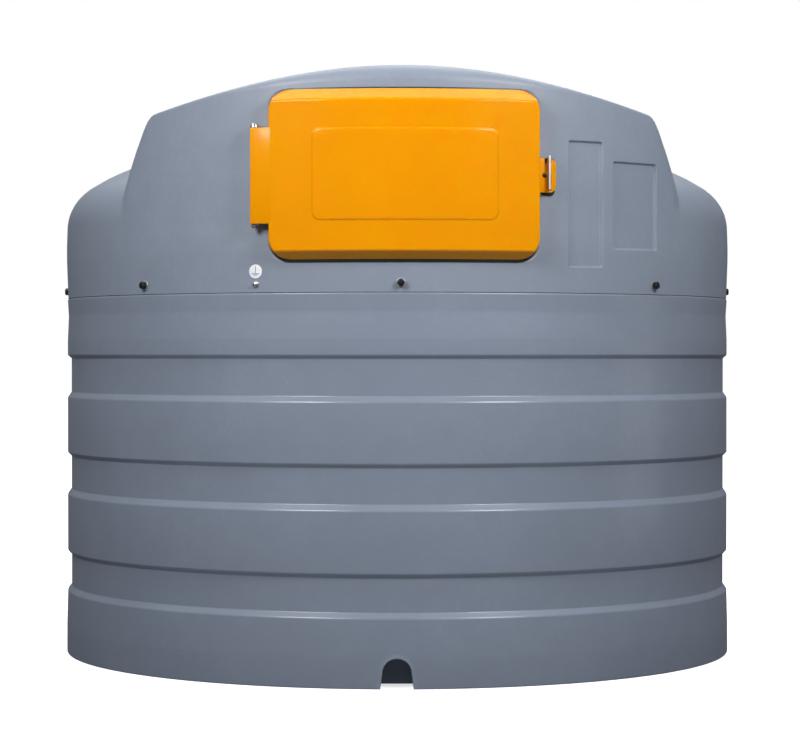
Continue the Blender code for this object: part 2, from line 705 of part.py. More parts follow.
def latch_screw():
    """The screw through the tongue."""
    face = flat_radius(TONGUE_BACK_R + TONGUE_THICK) + GAP
    aside = latch_screw_aside()
    head = peg("latch_screw", LATCH_SCREW_R, face, face + LATCH_SCREW_HEIGHT, 12, LATCH_AZIMUTH, LATCH_SCREW_Z, aside)
    shank = peg("shank", LATCH_SHANK_R, face - TONGUE_THICK, face + 0.001, 8, LATCH_AZIMUTH, LATCH_SCREW_Z, aside)
    return union(head, shank)


def cover_bolts():
    """The bolts, one mesh turned to each place: head, washer, shank and the nut inside."""
    face = skirt_face(BOLT_Z + WASHER_R)
    washer_face = face + WASHER_THICK
    bolt = peg("cover_bolt_1", WASHER_R, face, washer_face, 16, 0.0, BOLT_Z)
    union(bolt, peg("head", BOLT_HEAD_R, washer_face - 0.001, washer_face + BOLT_HEAD_HEIGHT, 6, 0.0, BOLT_Z),
          peg("shank", BOLT_SHANK_R, BOLT_INNER_R, face + 0.001, 8, 0.0, BOLT_Z),
          peg("nut", NUT_R, BOLT_INNER_R + 0.002, BOLT_INNER_R + 0.002 + NUT_THICK, 6, 0.0, BOLT_Z))
    bolts = [bolt]
    for number in range(1, BOLTS):
        copy = bpy.data.objects.new(f"cover_bolt_{number + 1}", bolt.data)
        bpy.context.scene.collection.objects.link(copy)
        copy.rotation_euler.z = 2 * pi * number / BOLTS
        bolts.append(copy)
    return bolts


def earth_bolt():
    """The small bolt of the earth point."""
    flat, aside = seat(EARTH_AZIMUTH)
    face = skirt_face(EARTH_BOLT_Z + EARTH_WASHER_R)
    washer_face = face + EARTH_WASHER_THICK
    bolt = peg("earth_bolt", EARTH_WASHER_R, face, washer_face, 12, flat, EARTH_BOLT_Z, aside)
    return union(
        bolt,
        peg("head", EARTH_HEAD_R, washer_face - 0.0005, washer_face + EARTH_HEAD_HEIGHT, 6, flat, EARTH_BOLT_Z, aside),
        peg("shank", EARTH_SHANK_R, COVER_INNER_R + 0.001, face + 0.001, 8, flat, EARTH_BOLT_Z, aside))


def earth_sign():
    """The round plate above the earth point."""
    flat, aside = seat(EARTH_AZIMUTH)
    face = skirt_face(SIGN_Z + SIGN_R)
    return peg("earth_sign", SIGN_R, face, face + SIGN_THICK, 24, flat, SIGN_Z, aside)


def hatch():
    """A low collar on the crown and its lid."""
    z = (CROWN_Z - 0.05, HATCH_TOP_Z)
    collar = turned("hatch_collar", [(0.0, z[1]), (HATCH_R, z[1]), (HATCH_R, z[0]), (0.0, z[0])], steps=32)
    inner = HATCH_R - HATCH_WALL
    cut(collar, turned("bore", [(0.0, 2.5), (inner, 2.5), (inner, 1.5), (0.0, 1.5)], steps=32))
    on_crown(collar)
    low = HATCH_TOP_Z + GAP
    high = low + HATCH_LID_THICK
    lid = turned("hatch_lid", [(0.0, high + HATCH_LID_DOME), (HATCH_LID_R / 2, high + 0.8 * HATCH_LID_DOME),
                               (HATCH_LID_R - 0.03, high), (HATCH_LID_R - 0.008, high - 0.003),
                               (HATCH_LID_R, high - 0.010), (HATCH_LID_R, low), (0.0, low)], steps=32)
    return collar, lid


def on_crown(piece):
    """Trims the foot of a piece to the crown that it stands on."""
    crown = body_solid("crown", 0.0)
    crown.location.z = GAP
    cut(piece, baked(crown))


def vent_cap():
    """A small mushroom vent on the crown."""
    under = VENT_TOP_Z - VENT_CAP_HEIGHT
    vent = turned("vent_cap", [(0.0, VENT_TOP_Z), (0.6 * VENT_CAP_R, VENT_TOP_Z - 0.004),
                               (VENT_CAP_R - 0.004, VENT_TOP_Z - 0.014), (VENT_CAP_R, under), (VENT_PIPE_R, under),
                               (VENT_PIPE_R, CROWN_Z - 0.10), (0.0, CROWN_Z - 0.10)], steps=20)
    vent.location = (*VENT_PLACE, 0.0)
    baked(vent)
    on_crown(vent)
    return vent


def collect(collection, pieces, material):
    """Puts finished pieces in the tank's collection, each with its own copy of the material."""
    for piece in pieces:
        own = material.copy()
        own.name = piece.name
        for owner in list(piece.users_collection):
            owner.objects.unlink(piece)
        collection.objects.link(piece)
        if not piece.data.materials:
            piece.data.materials.append(own)
        slot = piece.material_slots[0]
        slot.link = "OBJECT"
        slot.material = own
        piece.data.shade_smooth()
        piece.data.set_sharp_from_angle(angle=radians(30))


def hang_on_hinge(collection, pieces):
    """Parents the moving pieces to an empty on the hinge's axis."""
    hinge = bpy.data.objects.new("door_hinge", None)
    collection.objects.link(hinge)
    hinge.location = (*hinge_place(), sum(FLAP_Z) / 2)
    bpy.context.view_layer.update()
    for piece in pieces:
        piece.parent = hinge
        piece.matrix_parent_inverse = hinge.matrix_world.inverted()


def build():
    for leftover in list(bpy.data.objects):
        bpy.data.objects.remove(leftover)
    collection = bpy.data.collections.new("vertical_storage_tank")
    bpy.context.scene.collection.children.link(collection)
    moulded = make_material("moulded_grey", GREY, 0.5, 0.0)
    painted = make_material("orange", ORANGE, 0.35, 0.0)
    black = make_material("black_bolt", BLACK, 0.4, 0.5)
    steel = make_material("steel", STEEL, 0.35, 1.0)
    white = make_material("white", WHITE, 0.5, 0.0)
    collar, lid = hatch()
    moving_door = door()
    moving_screw = latch_screw()
    collect(collection, [bund_floor(), *bund_walls(), *cover_pieces(), cabinet_liner()], moulded)
    collect(collection, [hinge_boss(), latch_keeper(), collar, vent_cap()], moulded)
    collect(collection, [moving_door], painted)
    collect(collection, [hinge_rod(), hasp_blade(), earth_bolt()], steel)
    collect(collection, [moving_screw, *cover_bolts(), lid], black)
    collect(collection, [earth_sign()], white)
    hang_on_hinge(collection, [moving_door, moving_screw])


build()
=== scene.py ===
"""Vertical storage tank: its looks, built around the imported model.

Metres, +Z up. The origin is on the ground at the tank's axis, and the front with the door faces -Y.
Azimuths are measured from the front, towards +X.
"""

from math import asin, cos, pi, radians, sin, sqrt, tan

import bmesh
import bpy
import numpy as np
from mathutils import Matrix, Vector


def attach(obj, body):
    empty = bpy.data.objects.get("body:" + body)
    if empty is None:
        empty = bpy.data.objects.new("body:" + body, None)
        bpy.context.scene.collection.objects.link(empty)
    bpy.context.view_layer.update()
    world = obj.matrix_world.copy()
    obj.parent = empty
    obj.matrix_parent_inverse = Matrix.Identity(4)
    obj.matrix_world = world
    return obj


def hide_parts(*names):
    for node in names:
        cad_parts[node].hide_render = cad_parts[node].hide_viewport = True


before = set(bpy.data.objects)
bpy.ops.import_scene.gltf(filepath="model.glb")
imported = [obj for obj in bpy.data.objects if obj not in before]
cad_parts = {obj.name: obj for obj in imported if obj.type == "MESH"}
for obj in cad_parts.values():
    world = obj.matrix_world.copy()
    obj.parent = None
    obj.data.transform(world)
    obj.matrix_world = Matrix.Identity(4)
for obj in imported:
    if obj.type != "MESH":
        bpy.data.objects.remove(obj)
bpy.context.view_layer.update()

# Overall form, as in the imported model
TANK_R = 1.175
WALL = 0.010

# Outer tank, from the ground up
FOOT_R = TANK_R + 0.003
FOOT_Z = 0.100
FOOT_FILLET = 0.005
FOOT_RING_WIDE = 0.030
SLOPE_FILLET = 0.05
GROOVE_DEPTH = 0.0135
LEDGE_LIP_FILLET = 0.014
LEDGE_ROOT_FILLET = 0.007
UNDER_LIP_FILLET = 0.008
UNDER_ROOT_FILLET = 0.005

# Heights of each groove, from the lowest groove up: low lip, low root, high root, high lip
GROOVES = ((0.2205, 0.2385, 0.3480, 0.3610), (0.5580, 0.5780, 0.6930, 0.7060),
           (0.9000, 0.9180, 1.0365, 1.0480))

# Outer tank's rim
RIM_R = TANK_R - 0.0035
RIM_START_Z = 1.100
RIM_TAPER_Z = 1.180
RIM_BEAD = 0.0032
RIM_BEAD_FILLET = 0.0045
RIM_BEAD_Z = 1.2375
RIM_BEAD_FALL = 0.050
SEAM_Z = 1.245
SEAM_GAP = 0.0006
UPSTAND_R = TANK_R - 0.0084
UPSTAND_TOP_Z = 1.315
BUND_STEPS = 360

# Arched notch at the front of the base
NOTCH_X = -0.0125
NOTCH_FLOOR_HALF = 0.0525
NOTCH_ARCH_R = 0.0457
NOTCH_TOP_Z = 0.096
NOTCH_DEPTH = 0.140
NOTCH_FILLET = 0.002
NOTCH_LIP_WIDE = 0.013
NOTCH_LIP_RISE = 0.0018
NOTCH_LIP_ROOT = 0.004
NOTCH_LIP_FOOT_Z = 0.003

# Shares of the rounded edge's and of the lip's width at which their rings lie
NOTCH_EDGE_SHARES = (0.0, 0.12, 0.3, 0.55, 1.0)
NOTCH_LIP_SHARES = (0.0, 0.0, 0.04, 0.12, 0.25, 0.45, 0.7, 0.9, 1.0, 1.0)

# Cover
SKIRT_R = TANK_R + 0.003
BODY_R = TANK_R + 0.002
SHOULDER_R = TANK_R + 0.001
SKIRT_BULGE_Z = (1.380, 1.430)
SKIRT_TUCK = 0.005
SKIRT_WALL = 0.006
SKIRT_WALL_Z = (1.3165, 1.3260)
SHOULDER_Z = 1.490
SHOULDER_WIDE = 0.200
SHOULDER_HIGH = 0.176
SHOULDER_SWEEP = radians(62)
SHOULDER_STEPS = 14
SHOULDER_EASE = ((1.034, 1.6667), (0.9956, 1.6843), (0.893, 1.728), (0.700, 1.753))
SHOULDER_BLUR = 0.008
BODY_MIDDLE_X = 0.007
CHEEK = ((0.938, 1.380), (0.935, 1.480), (0.925, 1.540), (0.912, 1.600), (0.8933, 1.657), (0.870, 1.721),
         (0.842, 1.784), (0.826, 1.812), (0.812, 1.828), (0.760, 1.860), (0.600, 2.100))
CHEEK_BLUR = 0.012
CHEEK_ROLL = (0.024, 0.006)
CHEEK_ROLL_Z = (1.740, 1.810)
CROWN_Z = 1.960
CROWN_FALL = 0.2275
CROWN_EASE = 0.055
CROWN_DOME = 0.020
CROWN_ROLL = 0.050
CROWN_FLANK_ROLL = 0.007
CROWN_FLANK_X = (0.150, 0.600)
CROWN_FLANK_DROP = 0.117
CREASE_FILLET = (0.0004, 0.007)
CREASE_Z = (1.470, 1.550)
TABLE_STEP = 0.0015
RAY_Z = 1.300
CROWN_PLANE_Z = 1.930

# Recessed rectangles in the cover: lowest and highest azimuth in degrees, then height
RECESSES = ((27.0, 33.55, 1.327, 1.732), (35.6, 45.55, 1.388, 1.672))
RECESS_DEPTH = 0.0105
RECESS_SLOPE = 0.0060
RECESS_CORNER_R = 0.008

# Shallow seat round the door: sides, height, corner and depth
SEAT_X = (-0.4176, 0.4400)
SEAT_Z = (1.3430, 1.8850)
SEAT_CORNER_R = 0.055
SEAT_DEPTH = 0.0035
SEAT_SLOPE = 0.0030

# The cover's grid: where each line starts, then (end, steps) with even counts
# COLUMNS are azimuths in degrees, ROWS are heights and CROWN_ROWS are radii
COLUMNS = (-180.0, (-139.0, 24), (-125.0, 26), (-56.0, 42), (-41.0, 44), (-21.05, 20), (-19.456, 12),
           (-18.0, 12), (18.6, 34), (20.595, 8), (22.2, 10), (26.85, 4), (27.40, 8), (33.15, 6), (33.70, 8),
           (35.45, 2), (36.00, 8), (41.0, 6), (45.15, 12), (45.70, 8), (56.0, 30), (125.0, 42), (139.0, 26),
           (180.0, 24))
ROWS = (1.2458, (1.3255, 8), (1.3350, 8), (1.3410, 2), (1.374, 14), (1.3865, 6), (1.3960, 8), (1.490, 8),
        (1.6635, 14), (1.6730, 8), (1.7230, 4), (1.7335, 8), (1.822, 8), (1.850, 10))
CROWN_ROWS = (1.3482, (1.2752, 10), (1.2632, 6), (1.050, 24), (0.860, 20), (0.500, 6), (0.050, 6))

# How many segments of the grid lie before each edge of the cabinet opening
OPENING_COLUMNS = (6, 9)
OPENING_ROWS = (4, 13)

# Door
DOOR_X = (-0.4156, 0.438)
DOOR_BACK_Z = (1.348, 1.882)
DOOR_FRONT_Z = (1.374, 1.846)
DOOR_CORNER_R = 0.068
DOOR_BACK_R = TANK_R + 0.008
DOOR_FRONT_R = TANK_R + 0.0486
DOOR_WALL = 0.006
DOOR_EDGE = 0.006
# A black band round the door's rim, painted shade for the dark shadow line at its edge: sides, height,
# corner, width and radii
SHADE_BAND_X = (-0.4166, 0.4390)
SHADE_BAND_Z = (1.3395, 1.8868)
SHADE_BAND_CORNER_R = 0.070
SHADE_BAND_WIDE = 0.016
SHADE_BAND_R = (BODY_R - SEAT_DEPTH - 0.001, BODY_R + 0.0035)
PANEL_X = (-0.280, 0.305)
PANEL_Z = (1.4675, 1.757)
PANEL_CORNER_R = 0.028
PANEL_RISE = 0.0034
PANEL_SLOPE = 0.0045
SLIT_HALF = 0.004
SLIT_CORNER_R = 0.0035
CORNER_STEPS = 8
EDGE_STEPS = 8
SIDE_STEPS = (14, 30)

# Shares of the way at which the door's loops lie: up its side, over its face to the panel, and to a slit
PAN_SHARES = (0.0, 0.06, 0.2, 0.4, 0.6, 0.8, 0.97)
FACE_SHARES = (0.03, 0.2, 0.45, 0.7, 0.9, 0.98)
SLIT_SHARES = (0.05, 0.3, 0.6, 0.85, 1.0)

# Hinge
HINGE_AZIMUTH = radians(-22.5)
HINGE_R = TANK_R + 0.030
FLAP_LEFT_X = -0.474
FLAP_Z = (1.460, 1.762)
FLAP_BACK_R = HINGE_R - 0.012
ROD_R = 0.005
HINGE_AXIS = Matrix.Translation((HINGE_R * sin(HINGE_AZIMUTH), -HINGE_R * cos(HINGE_AZIMUTH), 0.0))
BARREL_R = 0.009
BARREL_END_GAP = 0.0055
BOSS_HALF = 0.022
BOSS_THICK = 0.005
BOSS_WEB_HALF = 0.008
BOSS_END_GAP = 0.014
ROD_HEAD_R = 0.0135
ROD_HEAD_HEIGHT = 0.018
ROD_HEAD_SIDE = 0.006
ROD_NUT_R = 0.0095
ROD_NUT_HEIGHT = 0.010
ROD_TIP = 0.006

# Latch
LATCH_AZIMUTH = radians(22.5)
TONGUE_BACK_R = TANK_R + 0.0175
TONGUE_THICK = 0.006
TONGUE_X = (0.433, 0.4915)
TONGUE_Z = (1.561, 1.669)
TONGUE_CORNER_R = 0.022
BLADE_X = 0.4695
BLADE_THICK = 0.0052
BLADE_Z = (1.5690, 1.6765)
BLADE_FRONT_Y = -1.128
BLADE_ROOT_Y = -1.0880
SLOT_CLEARANCE = (0.001, 0.0035)
SLOT_LOW_Z = 1.5670
KEEPER_T = (-0.008, 0.038)
KEEPER_Z = (1.553, 1.670)
KEEPER_CORNER_R = 0.012
KEEPER_THICK = 0.008
PLATE_T = (-0.004, 0.036)
PLATE_Z = (1.575, 1.655)
PLATE_THICK = 0.003
PLATE_CORNER_R = 0.003
EYE_Y = -1.1145
EYE_Z = 1.628
EYE_R = 0.006
LATCH_SCREW_X = 0.4535
LATCH_SCREW_Z = 1.615
LATCH_SCREW_R = 0.0076
LATCH_SCREW_HEIGHT = 0.004

# Bolts through the cover's skirt
BOLTS = 8
BOLT_TURNS = (7, 23)
BOLT_Z = 1.275
BOLT_FACE_R = 1.1742
HEAD_DOME = 0.001
WASHER_HOLE_R = 0.0045

# Radius and height of the cover bolts' heads and washers
BOLT_HEAD = (0.0127, 0.0155)
BOLT_WASHER = (0.0155, 0.003)

# Earth point
EARTH_AZIMUTH = radians(-22.97)
EARTH_BOLT_Z = 1.271
EARTH_HEAD = (0.0075, 0.007)
EARTH_WASHER = (0.011, 0.002)
EARTH_TURN = 0.4
SIGN_Z = 1.312
SIGN_R = 0.0225
SIGN_THICK = 0.0012
SIGN_FACE_R = 1.1756
MARK_RISE = 0.0003

# The bars marked on the sign: left, right, low and high of each
MARKS = ((-0.0010, 0.0010, -0.0060, 0.0175), (-0.0140, 0.0140, -0.0072, -0.0056),
         (-0.0090, 0.0090, -0.0104, -0.0089), (-0.0045, 0.0045, -0.0136, -0.0121))

# Fittings on the crown
HATCH_R = 0.235
HATCH_WALL = 0.020
HATCH_TOP_Z = 2.000
HATCH_LID_R = 0.260
HATCH_LID_THICK = 0.022
HATCH_LID_DOME = 0.012
LID_RIBS = 40
VENT_PLACE = (0.420, 0.330)
VENT_PIPE_R = 0.030
VENT_CAP_R = 0.058
VENT_TOP_Z = 2.010
VENT_CAP_HEIGHT = 0.035

# Camera, fitted to the photo, which is 800 by 748
CAMERA_DISTANCE = 9.012
CAMERA_AZIMUTH = radians(-0.55)
CAMERA_Z = 1.0486
CAMERA_DROP = radians(0.439)
CAMERA_TURN = radians(-0.0616)
CAMERA_LENS = 112.7
CAMERA_SENSOR = 36.0

# Light from all round, from below and from above, and the floor
AMBIENT_BELOW = 0.06
AMBIENT_ABOVE = 0.28
FLOOR_GLOW = 1.3
AMBIENT_TINT = (0.92, 0.97, 1.07)
FLOOR_HALF = 60
FLOOR_SHADES = (0.80, 0.84)

# Soft boxes: name, place, the point they look at, size, power in watts
LIGHTS = (("overhead", (0.0, 1.8, 6.2), (0.0, 0.4, 1.6), (8.0, 5.5), 330),
          ("key_right", (2.0, -3.46, 3.0), (0.0, -0.6, 0.9), (1.2, 1.2), 92),
          ("side_right", (5.0, -0.9, 0.7), (1.0, -0.4, 0.4), (1.6, 1.0), 3.5),
          ("key_left", (-2.0, -3.46, 3.0), (0.0, -0.6, 0.9), (1.3, 1.2), 92))

# Colours as they are seen, 0 to 255
COVER_GREY = (133, 142, 156)
BUND_GREY = (130, 139, 154)
DOOR_ORANGE = (229, 151, 0)
BLACK_OXIDE = (40, 42, 46)
ZINC = (212, 212, 215)
DULL_ZINC = (176, 178, 182)
PALE_ZINC = (226, 222, 220)
SIGN_WHITE = (236, 238, 242)
MARK_GREY = (120, 124, 132)
BLACK = (34, 35, 37)


def linear(colour):
    """A seen colour, 0 to 255, as the linear values that a shader takes."""
    shares = [value / 255 for value in colour]
    return [share / 12.92 if share <= 0.04045 else ((share + 0.055) / 1.055) ** 2.4 for share in shares]


# Meshes

def finished(made, sharp=35.0):
    """Points a mesh's faces outwards and shades it smooth up to an angle in degrees."""
    shape = bmesh.new()
    shape.from_mesh(made.data)
    bmesh.ops.recalc_face_normals(shape, faces=shape.faces)
    shape.to_mesh(made.data)
    shape.free()
    made.data.shade_smooth()
    made.data.set_sharp_from_angle(angle=radians(sharp))
    return made


def from_points(name, points, faces, sharp=35.0):
    """A new object from points and faces."""
    mesh = bpy.data.meshes.new(name)
    mesh.from_pydata([tuple(point) for point in points], [], faces)
    made = bpy.data.objects.new(name, mesh)
    bpy.context.scene.collection.objects.link(made)
    return finished(made, sharp)


def baked(made):
    """Turns an object's modifiers and placing into plain vertices."""
    bpy.context.view_layer.update()
    graph = bpy.context.evaluated_depsgraph_get()
    mesh = bpy.data.meshes.new_from_object(made.evaluated_get(graph))
    mesh.transform(made.matrix_world)
    made.modifiers.clear()
    made.data = mesh
    made.matrix_world = Matrix.Identity(4)
    return finished(made)


def softened(made, width, segments=3, angle=30.0):
    """Rounds every edge that is sharper than an angle in degrees."""
    step = made.modifiers.new("soften", "BEVEL")
    step.width = width
    step.segments = segments
    step.limit_method = "ANGLE"
    step.angle_limit = radians(angle)
    step.harden_normals = False
    return baked(made)


def cut(target, tool):
    """Cuts target by tool, which is used up."""
    step = target.modifiers.new("cut", "BOOLEAN")
    step.operation = "DIFFERENCE"
    step.solver = "EXACT"
    step.object = tool
    baked(target)
    bpy.data.objects.remove(tool)
    return target


def joined(target, *others):
    """Puts the meshes of the others into target's, as they lie."""
    shape = bmesh.new()
    shape.from_mesh(target.data)
    for other in others:
        shape.from_mesh(other.data)
        bpy.data.objects.remove(other)
    shape.to_mesh(target.data)
    shape.free()
    return finished(target)


def turned(name, profile, steps, loop=False, sharp=35.0):
    """A turned shape from (radius, z) points; a loop is a closed ring."""
    angles = [2 * pi * step / steps for step in range(steps)]
    points = []
    rings = []
    for radius, z in profile:
        first = len(points)
        if radius < 1e-6:
            points.append((0.0, 0.0, z))
            rings.append([first])
        else:
            points += [(radius * sin(angle), -radius * cos(angle), z) for angle in angles]
            rings.append(list(range(first, first + steps)))
    faces = []
    for one, two in zip(rings, rings[1:] + (rings[:1] if loop else [])):
        for step in range(steps):
            after = (step + 1) % steps
            corners = (one[step % len(one)], one[after % len(one)],
                       two[after % len(two)], two[step % len(two)])
            faces.append(list(dict.fromkeys(corners)))
    return from_points(name, points, faces, sharp)


def filleted(corners, steps=4):
    """A line of (across, up, fillet) corners, each rounded by an arc of that radius."""
    line = []
    for before, corner, after in zip([None] + corners, corners, corners[1:] + [None]):
        if before is None or after is None or corner[2] == 0:
            line.append(corner[:2])
            continue
        here = Vector(corner[:2])
        back = (Vector(before[:2]) - here).normalized()
        ahead = (Vector(after[:2]) - here).normalized()
        half = back.angle(ahead) / 2
        centre = here + (back + ahead).normalized() * corner[2] / sin(half)
        start = here + back * corner[2] / tan(half) - centre
        end = here + ahead * corner[2] / tan(half) - centre
        for step in range(steps + 1):
            line.append(tuple(centre + start.lerp(end, step / steps).normalized() * corner[2]))
    return line


def arc(centre, radius, start, end, steps):
    """Points on a circle's arc, angles in radians."""
    angles = [start + (end - start) * step / steps for step in range(steps + 1)]
    return [(centre[0] + radius * cos(angle), centre[1] + radius * sin(angle)) for angle in angles]


def rounded(x, z, corner, clip=None):
    """A rectangle with round corners, cut off flat at two clip heights if asked."""
    clip = clip or z
    left, right = x[0] + corner, x[1] - corner
    low, high = z[0] + corner, z[1] - corner
    up = asin(min(1.0, (clip[1] - high) / corner))
    down = asin(min(1.0, (low - clip[0]) / corner))
    arcs = (((right, low), -down, 0), ((right, high), 0, up),
            ((left, high), pi - up, pi), ((left, low), pi, pi + down))
    return [point for centre, start, end in arcs for point in arc(centre, corner, start, end, CORNER_STEPS)]


def cylinder(name, radius, z, steps):
    """A cylinder from z[0] to z[1]."""
    return turned(name, [(0.0, z[0]), (radius, z[0]), (radius, z[1]), (0.0, z[1])], steps)


def band(one, two, count):
    """Faces between two closed rings of points, which start at one and at two."""
    following = [(step + 1) % count for step in range(count)]
    return [[one + step, one + after, two + after, two + step] for step, after in enumerate(following)]


def lofted(name, rings, ends=(), closed=False, sharp=35.0):
    """A skin over rings of points, with faces at its ends or closed to a loop."""
    count = len(rings[0])
    faces = list(ends)
    for number in range(len(rings) if closed else len(rings) - 1):
        faces += band(number * count, (number + 1) % len(rings) * count, count)
    return from_points(name, [point for ring in rings for point in ring], faces, sharp)


def capped(name, rings):
    """A skin over rings of points, with a flat face at each end."""
    count = len(rings[0])
    last = (len(rings) - 1) * count
    return lofted(name, rings, [list(range(count)), list(range(last, last + count))])


def rectangle(x, z):
    """The corners of a rectangle from (low, high) pairs."""
    return [(x[0], z[0]), (x[1], z[0]), (x[1], z[1]), (x[0], z[1])]


def prism(name, outline, y):
    """A front-view outline of (x, z) points, extruded from y[0] to y[1]."""
    return capped(name, [[(x, depth, z) for x, z in outline] for depth in y])


def block(name, x, y, z):
    """A box from (low, high) pairs."""
    return prism(name, rectangle(x, z), y)


def placed(made, azimuth, radius=0.0, z=0.0, facing=False):
    """Moves a piece out to the wall; facing tips its +Z axis to point out of the wall."""
    place = Matrix.Rotation(azimuth, 4, "Z") @ Matrix.Translation((0.0, -radius, z))
    if facing:
        place = place @ Matrix.Rotation(pi / 2, 4, "X")
    made.data.transform(place)
    return finished(made)


def grown(pair, by):
    """A (low, high) pair, wider by a length at each end."""
    return pair[0] - by, pair[1] + by


def between(one, two, share):
    """The values that lie a share of the way from one to two."""
    return tuple(a + (b - a) * share for a, b in zip(one, two))


def smooth_share(value):
    """A value held from 0 to 1, leaving 0 and reaching 1 without a kink."""
    share = np.clip(value, 0, 1)
    return share * share * (3 - 2 * share)


# Outer tank

def bund_line():
    """The outer side of the outer tank, from the upstand's top to the ground."""
    bead_r = RIM_R + RIM_BEAD
    corners = [(UPSTAND_R, UPSTAND_TOP_Z, 0.0), (UPSTAND_R, SEAM_Z - SEAM_GAP, 0.001),
               (bead_r, SEAM_Z - SEAM_GAP, RIM_BEAD_FILLET), (bead_r, RIM_BEAD_Z, 0.004),
               (RIM_R, RIM_BEAD_Z - RIM_BEAD_FALL, 0.01),
               (RIM_R, RIM_TAPER_Z, SLOPE_FILLET), (TANK_R, RIM_START_Z, SLOPE_FILLET)]
    inner = TANK_R - GROOVE_DEPTH
    for low, low_root, high_root, high in reversed(GROOVES):
        corners += [(TANK_R, high, UNDER_LIP_FILLET), (inner, high_root, UNDER_ROOT_FILLET),
                    (inner, low_root, LEDGE_ROOT_FILLET), (TANK_R, low, LEDGE_LIP_FILLET)]
    corners += [(FOOT_R, FOOT_Z, SLOPE_FILLET), (FOOT_R, 0.0, FOOT_FILLET),
                (FOOT_R - FOOT_RING_WIDE, 0.0, 0.0)]
    return filleted(corners, 6)


def notch_outline(grow):
    """The notch as an arch, its sides a little wider at the ground, larger all round by grow."""
    spring_z = NOTCH_TOP_Z - NOTCH_ARCH_R
    foot = NOTCH_FLOOR_HALF + grow
    deep = [(NOTCH_X - foot, -0.02), (NOTCH_X + foot, -0.02), (NOTCH_X + foot, 0.0)]
    return deep + arc((NOTCH_X, spring_z), NOTCH_ARCH_R + grow, 0, pi, 32) + [(NOTCH_X - foot, 0.0)]


def notch_arch(grow):
    """The part of the notch's outline that is over the ground."""
    return [point for point in notch_outline(grow) if point[1] >= 0.0]


def notch_cutter():
    """The notch as a cutter that widens in a quarter round at the wall's outer face."""
    slices = [(-FOOT_R - 0.05, NOTCH_FILLET)]
    for share in NOTCH_EDGE_SHARES:
        slices.append((-FOOT_R + NOTCH_FILLET * share, NOTCH_FILLET * (1 - sqrt(1 - (1 - share) ** 2))))
    slices.append((-FOOT_R + 0.05, 0.0))
    return capped("cutter", [[(x, y, z) for x, z in notch_outline(grow)] for y, grow in slices])


def notch_lip():
    """The thickened edge round the notch, a low swell whose first and last ring lie inside the wall."""
    rings = len(NOTCH_LIP_SHARES)
    points = []
    for ring, share in enumerate(NOTCH_LIP_SHARES):
        outline = notch_arch(NOTCH_FILLET * 0.4 + NOTCH_LIP_WIDE * share)
        rise = NOTCH_LIP_RISE * (0.5 + 0.5 * cos(pi * share)) * min(1.0, 0.55 + 8 * share)
        if ring in (0, rings - 1):
            rise = -NOTCH_LIP_ROOT
        points += [(x, x * x / (2 * FOOT_R) - FOOT_R - rise, max(z, NOTCH_LIP_FOOT_Z)) for x, z in outline]
    count = len(outline)
    faces = [[ring * count for ring in range(rings)], [ring * count + count - 1 for ring in range(rings)]]
    for ring in range(rings):
        low = ring * count
        high = (ring + 1) % rings * count
        faces += [[low + step, low + step + 1, high + step + 1, high + step] for step in range(count - 1)]
    return from_points("bund_notch_lip", points, faces, sharp=60.0)


def notch_pocket():
    """The arched pocket behind the notch, open below."""
    outside = notch_arch(WALL)
    back = -TANK_R + NOTCH_DEPTH
    walls = prism("bund_pocket", notch_arch(0.0) + outside[::-1], (-FOOT_R + WALL, back))
    return joined(walls, prism("end", outside, (back, back + WALL)))


def bund_shell():
    """The ribbed wall in one piece, with the notch."""
    line = bund_line()
    inner = [(radius - WALL, z) for radius, z in line[:-1] if z > WALL or radius > FOOT_R - 0.02]
    inner = [point for number, point in enumerate(inner) if number % 3 == 0 or point[1] > 1.2]
    step_up = [(FOOT_R - FOOT_RING_WIDE, 0.004)]
    ring = turned("bund_shell", line + step_up + inner[::-1], BUND_STEPS, loop=True, sharp=40.0)
    return cut(ring, notch_cutter())


# Cover

def smooth_table(line, blur):
    """A line of (value, place) points as an even table with its corners eased over a distance."""
    values, places = np.array(line).T
    order = np.argsort(places)
    grid = np.arange(places.min(), places.max(), TABLE_STEP)
    table = np.interp(grid, places[order], values[order])
    width = int(blur / TABLE_STEP)
    kernel = np.ones(width) / width
    ramp = np.arange(1, width + 1)
    for _again in range(2):
        before = table[0] + (table[0] - table[1]) * ramp[::-1]
        after = table[-1] + (table[-1] - table[-2]) * ramp
        table = np.convolve(np.concatenate([before, table, after]), kernel, mode="same")[width:-width]
    return grid, table


def shoulder_table():
    """The radius of the skirt and the rolled shoulder at each height."""
    tucked = SKIRT_R - SKIRT_TUCK
    line = [(tucked, SEAM_Z - 0.05), (tucked, SEAM_Z)] + [(SKIRT_R, z) for z in SKIRT_BULGE_Z]
    for step in range(SHOULDER_STEPS + 1):
        angle = SHOULDER_SWEEP * step / SHOULDER_STEPS
        line.append((SHOULDER_R - SHOULDER_WIDE * (1 - cos(angle)), SHOULDER_Z + SHOULDER_HIGH * sin(angle)))
    return smooth_table(line + list(SHOULDER_EASE), SHOULDER_BLUR)


